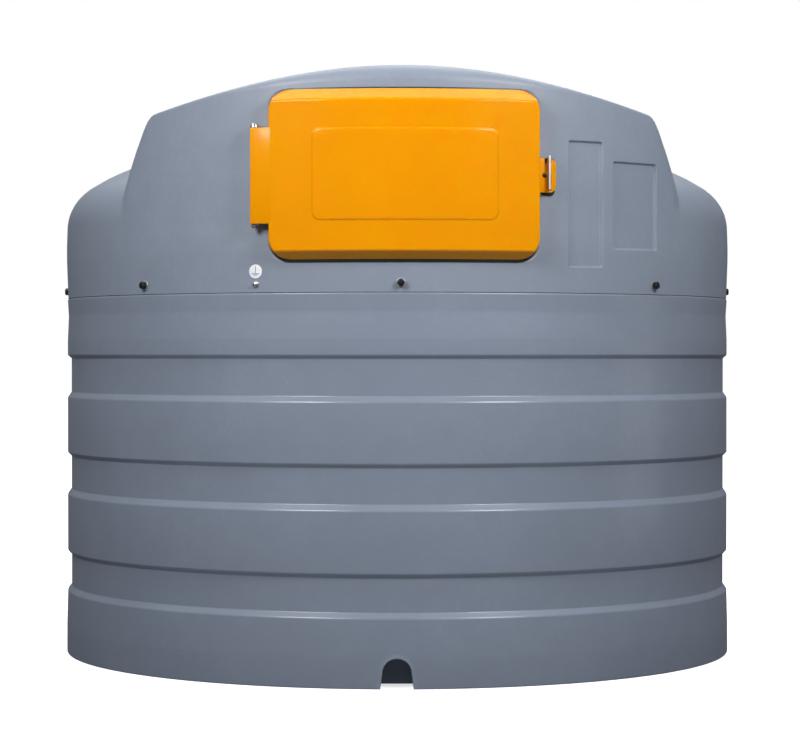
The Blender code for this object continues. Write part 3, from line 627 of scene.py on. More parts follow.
def line_distance(across, up, places, values):
    """How far outside (positive) or inside a line of values by height each point lies, as a true distance."""
    keep = slice(None, None, 12)
    ends_up = np.append(places[keep], places[-1])
    ends_across = np.append(values[keep], values[-1])
    nearest = np.full(across.shape, np.inf)
    for number in range(len(ends_up) - 1):
        run_a = ends_across[number + 1] - ends_across[number]
        run_u = ends_up[number + 1] - ends_up[number]
        length = run_a * run_a + run_u * run_u
        if length < 1e-12:
            continue
        beside = across - ends_across[number]
        above = up - ends_up[number]
        share = np.clip((beside * run_a + above * run_u) / length, 0, 1)
        nearest = np.minimum(nearest, (beside - share * run_a) ** 2 + (above - share * run_u) ** 2)
    outside = (across > np.interp(up, ends_up, ends_across)) | (up > ends_up[-1])
    return np.where(outside, 1, -1) * np.sqrt(nearest)


def round_meet(one, two, radius):
    """Where two solids overlap, as a distance, the edge between them rounded."""
    sharp = np.minimum(np.maximum(one, two), -radius)
    return sharp + np.hypot(np.maximum(one + radius, 0), np.maximum(two + radius, 0))


def smooth_join(one, two, radius):
    """Two solids as one, as a distance, the crease between them filled."""
    share = np.clip(0.5 + 0.5 * (two - one) / radius, 0, 1)
    return two + (one - two) * share - radius * share * (1 - share)


def crown_height(x, y):
    """The vaulted top's height."""
    rim = BODY_R - CROWN_ROLL
    aside = x - BODY_MIDDLE_X
    dome = CROWN_DOME * np.maximum(0.0, 1 - (x * x + y * y) / (rim * rim))
    return CROWN_Z + dome - CROWN_FALL * aside ** 2 + CROWN_EASE * aside ** 4


def cover_distance(points, tables):
    """How far outside (positive) or inside the cover's outer side each point lies."""
    x, y, z = points
    shoulder_line, cheek_line = tables
    radius = np.hypot(x, y)
    shoulder = line_distance(radius, z, *shoulder_line)
    aside = x - BODY_MIDDLE_X
    slope = -2 * CROWN_FALL * aside + 4 * CROWN_EASE * aside ** 3
    crown = (z - crown_height(x, y)) / np.sqrt(1 + slope * slope)
    roll = np.interp(np.abs(aside), CROWN_FLANK_X, (CROWN_ROLL, CROWN_FLANK_ROLL))
    drum = round_meet(radius - BODY_R, crown + (CROWN_ROLL - roll) * CROWN_FLANK_DROP, roll)
    cheek = line_distance(np.abs(aside), z, *cheek_line)
    body = round_meet(drum, cheek, np.interp(z, CHEEK_ROLL_Z, CHEEK_ROLL))
    body = np.maximum(body, SKIRT_BULGE_Z[0] + 0.004 - z)
    return smooth_join(shoulder, body, np.interp(z, CREASE_Z, CREASE_FILLET))


def reach_along(azimuths, slopes, inset, tables):
    """Distances from the axis at which rays from inside the cover leave it, by bisection."""
    low = np.full(azimuths.shape, 0.0)
    high = np.where(slopes > 1.0, 1.0, 1.35) * np.ones(azimuths.shape)
    for _step in range(30):
        middle = (low + high) / 2
        points = (middle * np.sin(azimuths), -middle * np.cos(azimuths), RAY_Z + middle * slopes)
        outside = cover_distance(points, tables) > -inset(points[2])
        high = np.where(outside, middle, high)
        low = np.where(outside, low, middle)
    return (low + high) / 2


def spread(start, *segments):
    """Even values from the start up to each (end, steps) in turn, without the last end."""
    values = []
    for end, steps in segments:
        values.append(np.linspace(start, end, steps, endpoint=False))
        start = end
    return np.concatenate(values)


def inside_by(across, up, x, z, corner):
    """How far inside a rounded rectangle each place lies."""
    beside = np.abs(across - sum(x) / 2) - (x[1] - x[0]) / 2 + corner
    above = np.abs(up - sum(z) / 2) - (z[1] - z[0]) / 2 + corner
    outside = np.hypot(np.maximum(beside, 0), np.maximum(above, 0)) + np.minimum(np.maximum(beside, above), 0)
    return corner - outside


def recess_depth(azimuth, radius, z):
    """How deep the recessed rectangles and the door's seat are at each place, 0 outside them."""
    edge = inside_by(radius * np.sin(azimuth), z, SEAT_X, SEAT_Z, SEAT_CORNER_R)
    depth = SEAT_DEPTH * smooth_share(edge / SEAT_SLOPE)
    for low, high, *heights in RECESSES:
        sides = (radians(low) * BODY_R, radians(high) * BODY_R)
        edge = inside_by(azimuth * BODY_R, z, sides, heights, RECESS_CORNER_R)
        depth = np.maximum(depth, RECESS_DEPTH * smooth_share(edge / RECESS_SLOPE))
    return depth


def cover_thickness(z):
    """The wall's thickness at each height, thin in the skirt."""
    return np.interp(z, SKIRT_WALL_Z, (SKIRT_WALL, WALL + RECESS_DEPTH))


def cover_shell():
    """The whole cover in one piece, with the cabinet opening and the recesses."""
    tables = (shoulder_table(), smooth_table(CHEEK, CHEEK_BLUR))
    wall_slopes = (spread(*ROWS) - RAY_Z) / BODY_R
    crown_slopes = (CROWN_PLANE_Z - RAY_Z) / np.append(spread(*CROWN_ROWS), CROWN_ROWS[-1][0])
    azimuth, slope = np.meshgrid(np.radians(spread(*COLUMNS)), np.concatenate([wall_slopes, crown_slopes]))
    outer_r = reach_along(azimuth, slope, lambda z: 0.0, tables)
    outer_z = RAY_Z + outer_r * slope
    front = np.abs(azimuth) < pi / 2
    outer_r = outer_r - np.where(front, recess_depth(azimuth, outer_r, outer_z), 0.0)
    inner_r = reach_along(azimuth[::2, ::2], slope[::2, ::2], cover_thickness, tables)
    inner_z = RAY_Z + inner_r * slope[::2, ::2]
    inner_z[0] = outer_z[0, ::2]
    rows, count = outer_r.shape
    points = [(r * sin(a), -r * cos(a), z) for r, a, z in zip(outer_r.flat, azimuth.flat, outer_z.flat)]
    points.append((0.0, 0.0, float(crown_height(0.0, 0.0))))
    inner_first = len(points)
    inside = zip(inner_r.flat, azimuth[::2, ::2].flat, inner_z.flat)
    points += [(r * sin(a), -r * cos(a), z) for r, a, z in inside]
    points.append((0.0, 0.0, points[inner_first - 1][2] - WALL))
    left, right = (sum(steps for _end, steps in COLUMNS[1:number + 1]) for number in OPENING_COLUMNS)
    low, high = (sum(steps for _end, steps in ROWS[1:number + 1]) for number in OPENING_ROWS)

    def outer(row, column):
        return inner_first - 1 if row >= rows else row * count + column % count

    def inner(row, column):
        return len(points) - 1 if row >= rows else inner_first + row // 2 * (count // 2) + column % count // 2

    faces = []
    for side, step in ((outer, 1), (inner, 2)):
        for row in range(0, rows, step):
            for column in range(0, count, step):
                if not (low <= row < high and left <= column < right):
                    corners = (side(row, column), side(row, column + step),
                               side(row + step, column + step), side(row + step, column))
                    faces.append(list(dict.fromkeys(corners)))
    for column in range(0, count, 2):
        for row in (0, low, high) if left <= column < right else (0,):
            faces.append([outer(row, column), outer(row, column + 1), outer(row, column + 2),
                          inner(row, column + 2), inner(row, column)])
    for row in range(low, high, 2):
        for column in (left, right):
            faces.append([outer(row, column), outer(row + 1, column), outer(row + 2, column),
                          inner(row + 2, column), inner(row, column)])
    return from_points("cover_shell", points, faces, sharp=50.0)


# Door

def door_loop(x, z, corner, clip, radius):
    """A clipped outline on a cylinder round the tank's axis, its straight sides divided."""
    flat = rounded(x, z, corner, clip)
    quarter = CORNER_STEPS + 1
    loop = []
    for number, steps in enumerate(SIDE_STEPS * 2):
        last = (number + 1) * quarter
        loop += flat[number * quarter:last]
        loop += [between(flat[last - 1], flat[last % len(flat)], step / steps) for step in range(1, steps)]
    return [(px, -sqrt(radius * radius - px * px), pz) for px, pz in loop]


def pan_loops(inset):
    """Loops of the door's skin, from its back edge to its front face, smaller all round by inset."""
    front_r = DOOR_FRONT_R - inset
    edge = max(DOOR_EDGE - inset / 2, 0.002)
    corner = DOOR_CORNER_R - inset
    x = grown(DOOR_X, -inset)
    z = grown(DOOR_BACK_Z, -inset)

    def clip_at(radius):
        share = (radius - DOOR_BACK_R) / (DOOR_FRONT_R - DOOR_BACK_R)
        return grown(between(DOOR_BACK_Z, DOOR_FRONT_Z, share), -1.3 * inset)

    loops = []
    for share in PAN_SHARES:
        radius = DOOR_BACK_R + (front_r - edge - DOOR_BACK_R) * share
        loops.append((x, z, corner, clip_at(radius), radius))
    for step in range(EDGE_STEPS + 1):
        angle = pi / 2 * step / EDGE_STEPS
        radius = front_r - edge * (1 - sin(angle))
        drawn = edge * (1 - cos(angle))
        clip = grown(clip_at(radius), -0.6 * drawn)
        loops.append((grown(x, -drawn), grown(z, -drawn), corner - drawn, clip, radius))
    return loops


def panel_loops():
    """Loops from the panel's foot, up its sloping edge and over its face to a slit at its middle."""
    loops = []
    for step in range(EDGE_STEPS + 1):
        drawn = PANEL_SLOPE * step / EDGE_STEPS
        z = grown(PANEL_Z, -drawn)
        radius = DOOR_FRONT_R + PANEL_RISE * smooth_share(step / EDGE_STEPS)
        loops.append((grown(PANEL_X, -drawn), z, PANEL_CORNER_R - drawn, z, radius))
    return loops + slit_loops(loops[-1])


def slit_loops(last):
    """Loops that close a face down to a narrow slit."""
    middle = sum(last[3]) / 2
    reach = (last[3][1] - last[3][0]) / 2
    slit_z = (middle - SLIT_HALF, middle + SLIT_HALF)
    slit = (grown(last[0], SLIT_HALF - reach), slit_z, SLIT_CORNER_R, slit_z, last[4])
    return eased(last, slit, SLIT_SHARES)


def eased(one, two, shares):
    """Loops between two, each of sides, heights, corner, clip heights and radius."""
    loops = []
    for share in shares:
        x, z, clip = (between(one[part], two[part], share) for part in (0, 1, 3))
        corner, radius = between((one[2], one[4]), (two[2], two[4]), share)
        loops.append((x, z, corner, clip, radius))
    return loops


def door_pan():
    """The curved door with its bevelled rim and raised panel, front and back."""
    outside = pan_loops(0.0)
    panel = panel_loops()
    outside += eased(outside[-1], panel[0], FACE_SHARES) + panel
    inside = pan_loops(DOOR_WALL)
    inside += slit_loops(inside[-1])
    rings = [door_loop(*loop) for loop in inside[::-1] + outside]
    count = len(rings[0])
    ends = slit_faces(0, count) + slit_faces((len(rings) - 1) * count, count)
    return lofted("door_pan", rings, ends, sharp=50.0)


def slit_faces(first, count):
    """Faces across a slit between its top and bottom sides, with an end face at each side."""
    side, steps = SIDE_STEPS
    high = first + 2 * CORNER_STEPS + side
    low = first + count - steps
    top = [high + step for step in range(steps + 1)]
    bottom = [first] + [first + count - step for step in range(1, steps + 1)]
    faces = [[top[step], top[step + 1], bottom[step + 1], bottom[step]] for step in range(steps)]
    return faces + [list(range(first, high + 1)), list(range(top[-1], low + 1))]


def wall_plate(name, outline, radius, bend_steps):
    """A front-view outline as a plate bent round the tank's axis, between two radii."""
    xs = [x for x, _z in outline]
    made = prism(name, outline, (0.0, 1.0))
    shape = bmesh.new()
    shape.from_mesh(made.data)
    for step in range(1, bend_steps):
        cut_x = min(xs) + (max(xs) - min(xs)) * step / bend_steps
        everything = shape.verts[:] + shape.edges[:] + shape.faces[:]
        bmesh.ops.bisect_plane(shape, geom=everything, dist=1e-6, plane_co=(cut_x, 0, 0), plane_no=(1, 0, 0))
    for vertex in shape.verts:
        r = radius[1] if vertex.co.y < 0.5 else radius[0]
        vertex.co.y = -sqrt(r * r - vertex.co.x ** 2)
    shape.to_mesh(made.data)
    shape.free()
    return finished(made)


def door_shade_band():
    """A black band with rounded corners between the door's rim and the wall: painted shade, standing in for
    the dark shadow line round the door's edge.
    """
    back, front = SHADE_BAND_R
    rings = []
    for drawn, radius in ((0.0, back), (0.0, front - 0.001), (0.0003, front - 0.0003), (0.001, front),
                          (SHADE_BAND_WIDE, front), (SHADE_BAND_WIDE, back)):
        z = grown(SHADE_BAND_Z, -drawn)
        rings.append(door_loop(grown(SHADE_BAND_X, -drawn), z, SHADE_BAND_CORNER_R - drawn, z, radius))
    return lofted("door_shade_band", rings, closed=True)


def hinge_flap():
    """The flap at the door's left, its front flush with the door's, with an ear above and below."""
    front = rectangle((FLAP_LEFT_X, DOOR_X[0] + 0.011), FLAP_Z)
    flap = wall_plate("door_flap", front, (DOOR_FRONT_R - DOOR_WALL, DOOR_FRONT_R - 0.0001), 6)
    softened(flap, 0.0022, 4)
    ears = []
    for low in (FLAP_Z[0], FLAP_Z[1] - DOOR_WALL):
        z = (low, low + DOOR_WALL)
        outline = rectangle((FLAP_LEFT_X + 0.0003, DOOR_X[0] + 0.003), grown(z, -0.0001))
        ear = wall_plate("ear", outline, (FLAP_BACK_R, DOOR_FRONT_R - 0.002), 4)
        bore = cylinder("bore", ROD_R + 0.0008, grown(z, 0.01), 24)
        bore.data.transform(HINGE_AXIS)
        cut(ear, bore)
        ears.append(softened(ear, 0.0008, 2))
    return joined(flap, *ears)


def latch_tongue():
    """The tongue at the door's right, with a slot for the blade and a notch that are open at the top."""
    low = (TONGUE_X[1] - TONGUE_CORNER_R, TONGUE_Z[0] + TONGUE_CORNER_R)
    high = (TONGUE_X[1] - TONGUE_CORNER_R, TONGUE_Z[1] - TONGUE_CORNER_R)
    half = BLADE_THICK / 2
    slot = (BLADE_X - half - SLOT_CLEARANCE[0], BLADE_X + half + SLOT_CLEARANCE[1])
    top = TONGUE_Z[1]
    outline = [(TONGUE_X[0], TONGUE_Z[0])] + arc(low, TONGUE_CORNER_R, -pi / 2, 0, 12)
    outline += [point for point in arc(high, TONGUE_CORNER_R, 0, pi / 2, 12) if point[0] > slot[1]]
    reach = sqrt(TONGUE_CORNER_R ** 2 - (slot[1] - high[0]) ** 2)
    outline += [(slot[1], high[1] + reach), (slot[1], SLOT_LOW_Z), (slot[0], SLOT_LOW_Z), (slot[0], top)]
    notch_x = slot[0] - 0.0035
    outline += [(notch_x, top), (notch_x - 0.0025, top - 0.024), (notch_x - 0.0055, top - 0.024),
                (notch_x - 0.0085, top), (TONGUE_X[0], top)]
    tongue = wall_plate("door_tongue", outline, (TONGUE_BACK_R, TONGUE_BACK_R + TONGUE_THICK), 6)
    return softened(tongue, 0.0012, 3, 40.0)


# Fittings

def hinge_boss():
    """The moulded boss that holds the rod: base, web and barrel."""
    z = grown(FLAP_Z, -BOSS_END_GAP)
    base = prism("hinge_boss_detail", rounded((-BOSS_HALF, BOSS_HALF), z, BOSS_HALF / 2),
                 (-BODY_R - BOSS_THICK, -BODY_R + 0.002))
    softened(base, 0.0015)
    web = block("web", (-BOSS_WEB_HALF, BOSS_WEB_HALF), (-HINGE_R, -BODY_R - 0.002), grown(z, -0.001))
    softened(web, 0.0015)
    placed(joined(base, web), HINGE_AZIMUTH)
    barrel_z = grown(FLAP_Z, -DOOR_WALL - BARREL_END_GAP)
    line = filleted([(ROD_R + 0.0003, barrel_z[0], 0.0), (BARREL_R, barrel_z[0], 0.001),
                     (BARREL_R, barrel_z[1], 0.001), (ROD_R + 0.0003, barrel_z[1], 0.0)])
    barrel = turned("barrel", line, 32, loop=True)
    barrel.data.transform(HINGE_AXIS)
    return joined(base, barrel)


def hinge_rod():
    """The steel rod with a domed head above the flap and a nut below it."""
    low, top = grown(FLAP_Z, 0.0006)
    angles = [pi / 2 * step / 12 for step in range(13)]
    dome = ROD_HEAD_HEIGHT - ROD_HEAD_SIDE
    line = [(ROD_HEAD_R * sin(angle), top + ROD_HEAD_SIDE + dome * cos(angle)) for angle in angles]
    tip = low - ROD_NUT_HEIGHT - ROD_TIP
    line += [(ROD_HEAD_R, top + 0.001), (ROD_HEAD_R - 0.001, top), (ROD_R, top), (ROD_R, low - 0.001),
             (ROD_R, tip + 0.001), (ROD_R - 0.001, tip), (0.0, tip)]
    rod = turned("hinge_rod_detail", line, 40)
    joined(rod, hex_head("nut", ROD_NUT_R, ROD_NUT_HEIGHT, low - ROD_NUT_HEIGHT, radians(12)))
    rod.data.transform(HINGE_AXIS)
    return rod


def hex_head(name, radius, height, seat, turn, dome=0.0):
    """A six-sided head with chamfered corners, standing on z = seat; radius is to its corners."""
    flat = radius * cos(pi / 6)
    levels = ((0.97, 0.98, 0.0), (1.0, 1.0, 0.0006), (1.0, 1.0, height * 0.74), (0.93, 1.0, height * 0.90),
              (0.82, 1.0, height * 0.97), (0.6, 1.0, height * 0.99 + dome * 0.6))
    sides = 48
    points = []
    for cut, shrink, z in levels:
        for step in range(sides):
            angle = 2 * pi * step / sides
            side = (angle + pi / 6) % (pi / 3) - pi / 6
            reach = shrink * min(flat / cos(side), radius * cut)
            points.append((reach * sin(angle), -reach * cos(angle), z))
    last = len(points) - sides
    points.append((0.0, 0.0, height + dome))
    faces = [list(range(sides))]
    for first in range(0, last, sides):
        faces += band(first, first + sides, sides)
    faces += [[last + step, last + (step + 1) % sides, last + sides] for step in range(sides)]
    head = from_points(name, points, faces)
    head.data.transform(Matrix.Translation((0.0, 0.0, seat)) @ Matrix.Rotation(turn, 4, "Z"))
    return head


def washer(name, radius, thick):
    """A flat washer with softened edges, standing on z = 0."""
    soft = thick / 3
    line = filleted([(WASHER_HOLE_R, 0.0, 0.0), (radius, 0.0, soft), (radius, thick, soft),
                     (WASHER_HOLE_R, thick, 0.0)], 3)
    return turned(name, line, 48, loop=True)


def latch_keeper():
    """The moulded pad under the latch."""
    pad = prism("latch_keeper_detail", rounded(KEEPER_T, KEEPER_Z, KEEPER_CORNER_R),
                (-BODY_R - KEEPER_THICK, -BODY_R + 0.003))
    return placed(softened(pad, 0.002, 4), LATCH_AZIMUTH)


def hasp_blade():
    """The steel blade with the padlock eye, on a foot plate."""
    face = BODY_R + KEEPER_THICK
    outline = rounded(PLATE_T, PLATE_Z, PLATE_CORNER_R)
    foot = prism("hasp_blade_detail", outline, (-face - PLATE_THICK, -face + 0.001))
    placed(softened(foot, 0.0005, 2), LATCH_AZIMUTH)
    corner = 0.003
    outline = [(BLADE_ROOT_Y, BLADE_Z[0]), (BLADE_ROOT_Y, BLADE_Z[1])]
    outline += arc((BLADE_FRONT_Y + corner, BLADE_Z[1] - corner), corner, pi / 2, pi, 6)
    outline += arc((BLADE_FRONT_Y + corner, BLADE_Z[0] + corner), corner, pi, 1.5 * pi, 6)
    blade = prism("blade", outline, (-BLADE_THICK / 2, BLADE_THICK / 2))
    blade.data.transform(Matrix.Translation((BLADE_X, 0, 0)) @ Matrix.Rotation(pi / 2, 4, "Z"))
    eye = cylinder("eye", EYE_R, (-0.05, 0.05), 32)
    eye.data.transform(Matrix.Translation((BLADE_X, EYE_Y, EYE_Z)) @ Matrix.Rotation(pi / 2, 4, "Y"))
    return joined(foot, softened(cut(blade, eye), 0.0006, 3))


def latch_screw():
    """The round-headed screw through the tongue, with a cross recess."""
    shares = ((0.0, 1.0), (0.5, 0.93), (0.8, 0.75), (1.0, 0.3), (1.0, 0.0), (0.0, 0.0))
    line = [(LATCH_SCREW_R * across, LATCH_SCREW_HEIGHT * up) for across, up in shares]
    head = turned("latch_screw_detail", line, 32)
    for x, y in ((0.0032, 0.0006), (0.0006, 0.0032)):
        cut(head, block("slot", (-x, x), (-y, y), (0.6 * LATCH_SCREW_HEIGHT, 0.01)))
    radius = TONGUE_BACK_R + TONGUE_THICK
    return placed(head, asin(LATCH_SCREW_X / radius), radius - 0.0002, LATCH_SCREW_Z, facing=True)


def earth_marks():
    """The protective-earth symbol: an upright bar over three bars that shorten downwards."""
    bars = [block("bar", (left, right), (-MARK_RISE, 0.0), (low, high)) for left, right, low, high in MARKS]
    marks = joined(*bars)
    marks.name = "earth_sign_marks"
    return placed(marks, EARTH_AZIMUTH, SIGN_FACE_R + SIGN_THICK, SIGN_Z)


def earth_sign():
    """The round white plate."""
    corners = [(0.0, 0.0, 0.0), (SIGN_R, 0.0, 0.0), (SIGN_R, SIGN_THICK, 0.0005), (0.0, SIGN_THICK, 0.0)]
    plate = turned("earth_sign_detail", filleted(corners, 3), 64)
    return placed(plate, EARTH_AZIMUTH, SIGN_FACE_R, SIGN_Z, facing=True)


def hatch_collar():
    """The low collar on the crown."""
    low = CROWN_Z - 0.02
    inner = HATCH_R - HATCH_WALL
    line = filleted([(inner, low, 0.0), (HATCH_R + 0.010, low, 0.0), (HATCH_R, CROWN_Z + 0.026, 0.004),
                     (HATCH_R, HATCH_TOP_Z, 0.002), (inner, HATCH_TOP_Z, 0.002), (inner, low, 0.0)])
    return turned("hatch_collar_detail", line[:-1], 128, loop=True)


def hatch_lid():
    """The black lid with a raised ring and grip ribs round its rim."""
    low = HATCH_TOP_Z + 0.0003
    high = low + HATCH_LID_THICK
    ring_r = 0.55 * HATCH_LID_R
    edge_r = HATCH_LID_R - 0.004
    shares = ((-0.012, 0.7, 0.01), (-0.008, 0.9, 0.002), (0.008, 0.85, 0.002), (0.012, 0.45, 0.002))
    line = [(0.0, high + HATCH_LID_DOME, 0.0)]
    line += [(ring_r + out, high + share * HATCH_LID_DOME, fillet) for out, share, fillet in shares]
    line += [(HATCH_LID_R - 0.006, high - 0.002, 0.004), (edge_r, low + 0.003, 0.001), (edge_r, low, 0.0),
             (0.0, low, 0.0)]
    lid = turned("hatch_lid_detail", filleted(line), 160)
    ribs = []
    for number in range(LID_RIBS):
        y = (-HATCH_LID_R + 0.0003, -HATCH_LID_R + 0.010)
        rib = block("rib", (-0.004, 0.004), y, (low + 0.0025, high - 0.0045))
        ribs.append(placed(rib, 2 * pi * number / LID_RIBS))
    return joined(lid, softened(joined(*ribs), 0.0015, 2))


def vent_cap():
    """The mushroom vent on the crown."""
    under = VENT_TOP_Z - VENT_CAP_HEIGHT
    low = float(crown_height(*VENT_PLACE)) - 0.012
    lip_r = VENT_CAP_R - 0.005
    foot_r = VENT_PIPE_R + 0.010
    corners = [(0.0, VENT_TOP_Z, 0.0), (0.6 * VENT_CAP_R, VENT_TOP_Z - 0.003, 0.02),
               (VENT_CAP_R - 0.002, VENT_TOP_Z - 0.013, 0.006), (VENT_CAP_R, under, 0.0015),
               (lip_r, under, 0.001), (lip_r, under + 0.006, 0.0), (VENT_PIPE_R, under + 0.006, 0.0),
               (VENT_PIPE_R, low + 0.020, 0.004), (foot_r, low + 0.013, 0.0), (foot_r, low, 0.0),
               (0.0, low, 0.0)]
    vent = turned("vent_cap_detail", filleted(corners), 64)
    vent.data.transform(Matrix.Translation((*VENT_PLACE, 0.0)))
    return vent


# Materials

def feed(node, inputs):
    """Sets a node's inputs, each to a value or to another node's socket."""
    for key, value in inputs.items():
        socket = node.inputs[int(key[1:])] if key[0] == "i" and key[1:].isdigit() else node.inputs[key]
        if isinstance(value, bpy.types.NodeSocket):
            node.id_data.links.new(value, socket)
        else:
            socket.default_value = value


def add_node(tree, kind, settings=None, **inputs):
    """A shader node with its settings and inputs, where i0 is the first input by number."""
    made = tree.nodes.new("ShaderNode" + kind)
    for key, value in (settings or {}).items():
        setattr(made, key, value)
    feed(made, inputs)
    return made


def new_material(name):
    """A material with its shader and the object's own coordinates."""
    material = bpy.data.materials.new(name)
    material.use_nodes = True
    tree = material.node_tree
    coordinates = add_node(tree, "TexCoord").outputs["Object"]
    return material, tree.nodes["Principled BSDF"], coordinates


def noise(place, scale, detail, stretch=None, turn=None):
    """Noise from 0 to 1, stretched and turned if asked."""
    if stretch:
        mapping = add_node(place.id_data, "Mapping", Vector=place, Scale=stretch, Rotation=turn)
        place = mapping.outputs["Vector"]
    return add_node(place.id_data, "TexNoise", Vector=place, Scale=scale, Detail=detail).outputs["Fac"]


def ranged(value, low, high, new_low, new_high):
    """A value carried from one range to another, held at its ends."""
    ends = {"i1": low, "i2": high, "i3": new_low, "i4": new_high}
    return add_node(value.id_data, "MapRange", i0=value, **ends).outputs["Result"]


def patchy(place, scale, detail, *ends):
    """Noise carried from one range to another."""
    return ranged(noise(place, scale, detail), *ends)


def maths(operation, one, two):
    """One step of arithmetic."""
    return add_node(one.id_data, "Math", {"operation": operation}, i0=one, i1=two).outputs[0]


def mixed(share, one, two):
    """Two colours mixed, each a colour or another node's socket."""
    one, two = (part if isinstance(part, bpy.types.NodeSocket) else (*part, 1.0) for part in (one, two))
    made = add_node(share.id_data, "Mix", {"data_type": "RGBA"}, i0=share, i6=one, i7=two)
    return made.outputs[2]


def scaled(colour, factor):
    """A colour made lighter or darker."""
    return tuple(value * factor for value in colour)


def bumped(*layers):
    """A bumpy surface's normal, from (strength, distance, height) layers with the broadest first."""
    below = {}
    for strength, distance, height in layers:
        below.update(Strength=strength, Distance=distance, Height=height)
        below = {"Normal": add_node(height.id_data, "Bump", **below).outputs["Normal"]}
    return below["Normal"]


def moulded(name, colour, roughness, marks, skin):
    """Satin moulded polyethylene: cloudy mottling, a fine peel, wavering scuffs and specks of dust."""
    material, shader, place = new_material(name)
    tree = material.node_tree
    base = linear(colour)
    cloud = patchy(place, 2.3, 4.0, 0.35, 0.65, 0.0, 1.0)
    tone = mixed(cloud, scaled(base, 0.96), scaled(base, 1.035))
    tone = mixed(patchy(place, 12.0, 4.0, 0.32, 0.62, 0.30, 0.0), tone, scaled(base, 0.86))
    tone = mixed(patchy(place, 52.0, 5.0, 0.3, 0.7, 0.55, 0.0), tone, scaled(base, 0.92))
    patch = patchy(place, 3.1, 2.0, 0.50, 0.70, 0.0, 1.0)
    sway = add_node(tree, "TexNoise", Vector=place, Scale=5.0, Detail=2.0).outputs["Color"]
    swayed = add_node(tree, "VectorMath", {"operation": "MULTIPLY_ADD"},
                      i0=sway, i1=(0.09, 0.09, 0.09), i2=place).outputs["Vector"]
    streak_a = noise(swayed, 10.0, 3.0, (1.3, 1.3, 17.0), (0.35, 0.2, 0.0))
    streak_b = noise(swayed, 12.0, 3.0, (13.0, 13.0, 1.1), (0.0, 0.25, 0.3))
    streaks = maths("MAXIMUM", ranged(streak_a, 0.66, 0.76, 0.0, 1.0),
                    ranged(streak_b, 0.67, 0.77, 0.0, 1.0))
    scuff = maths("MULTIPLY", maths("MULTIPLY", streaks, patch), 0.14 * marks)
    tone = mixed(scuff, tone, scaled(base, 1.5))
    specks = add_node(tree, "TexVoronoi", Vector=place, Scale=19.0).outputs["Distance"]
    speck = maths("MULTIPLY", ranged(specks, 0.028, 0.045, 1.0, 0.0), 0.30 * marks)
    rough = patchy(place, 5.0, 5.0, 0.3, 0.7, roughness - 0.05, roughness + 0.06)
    normal = bumped((0.35, 0.0035, noise(place, 7.0, 2.0)),
                    (0.30, 0.0004, noise(place, 170.0, 3.0)),
                    (0.25, 0.00012, noise(place, 900.0, 2.0)))
    feed(shader, {"Base Color": mixed(speck, tone, scaled(base, 1.7)),
                  "Roughness": maths("ADD", rough, maths("MULTIPLY", scuff, 0.5)),
                  "Normal": normal, "Specular IOR Level": 0.42,
                  "Coat Weight": skin, "Coat Roughness": 0.15})
    return material


def orange_plastic(name, colour):
    """Semi-gloss moulded plastic with a faint peel and flow marks."""
    material, shader, place = new_material(name)
    base = linear(colour)
    deep = (base[0] * 0.975, base[1] * 0.955, base[2])
    cloud = patchy(place, 5.0, 3.0, 0.35, 0.65, 0.0, 1.0)
    fine = patchy(place, 60.0, 3.0, 0.62, 0.8, 0.0, 0.10)
    feed(shader, {"Base Color": mixed(fine, mixed(cloud, deep, base), (0.98, 0.42, 0.0)),
                  "Roughness": patchy(place, 8.0, 4.0, 0.3, 0.7, 0.16, 0.23),
                  "Normal": bumped((0.25, 0.0025, noise(place, 9.0, 2.0)),
                                   (0.18, 0.0002, noise(place, 240.0, 2.0))),
                  "Specular IOR Level": 0.05, "Coat Weight": 0.25, "Coat Roughness": 0.10,
                  "Subsurface Weight": 0.7, "Subsurface Radius": (1.0, 0.35, 0.05),
                  "Subsurface Scale": 0.006})
    return material


def metal(name, colour, roughness, metallic):
    """A metal with fine grain and uneven shine."""
    material, shader, place = new_material(name)
    base = linear(colour)
    cloud = patchy(place, 160.0, 4.0, 0.35, 0.65, 0.0, 1.0)
    shine = noise(place, 90.0, 3.0)
    feed(shader, {"Base Color": mixed(cloud, scaled(base, 0.90), base),
                  "Roughness": ranged(shine, 0.3, 0.7, roughness - 0.07, roughness + 0.07),
                  "Metallic": metallic,
                  "Normal": bumped((0.2, 0.0001, noise(place, 420.0, 2.0)))})
    return material


def plain_plastic(name, colour, roughness, grain_depth=0.0002):
    """Plastic with faint unevenness and a fine grain."""
    material, shader, place = new_material(name)
    base = linear(colour)
    cloud = patchy(place, 14.0, 4.0, 0.35, 0.65, 0.0, 1.0)
    shine = noise(place, 22.0, 4.0)
    feed(shader, {"Base Color": mixed(cloud, scaled(base, 0.86), scaled(base, 1.06)),
                  "Roughness": ranged(shine, 0.3, 0.7, roughness - 0.05, roughness + 0.07),
                  "Normal": bumped((0.3, grain_depth, noise(place, 500.0, 2.0)))})
    return material


# Putting it together

def dress(piece, look, body, *nodes):
    """Gives a piece its material, the body that it rides on and the nodes that it stands for."""
    material, slot = look
    piece.data.materials.clear()
    piece.data.materials.append(material)
    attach(piece, body)
    if nodes:
        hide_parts(*nodes)


def dress_bolt(node, head_size, washer_size, place, turn, look, washer_look):
    """A bolt's head, which stands for the node, on its washer; the place is azimuth, radius and height."""
    radius, height = head_size
    head = hex_head(node + "_head", radius, height, washer_size[1], turn, HEAD_DOME)
    dress(placed(head, *place, facing=True), look, "tank", node)
    disc = washer(node + "_washer", *washer_size)
    dress(placed(disc, *place, facing=True), washer_look, "tank")


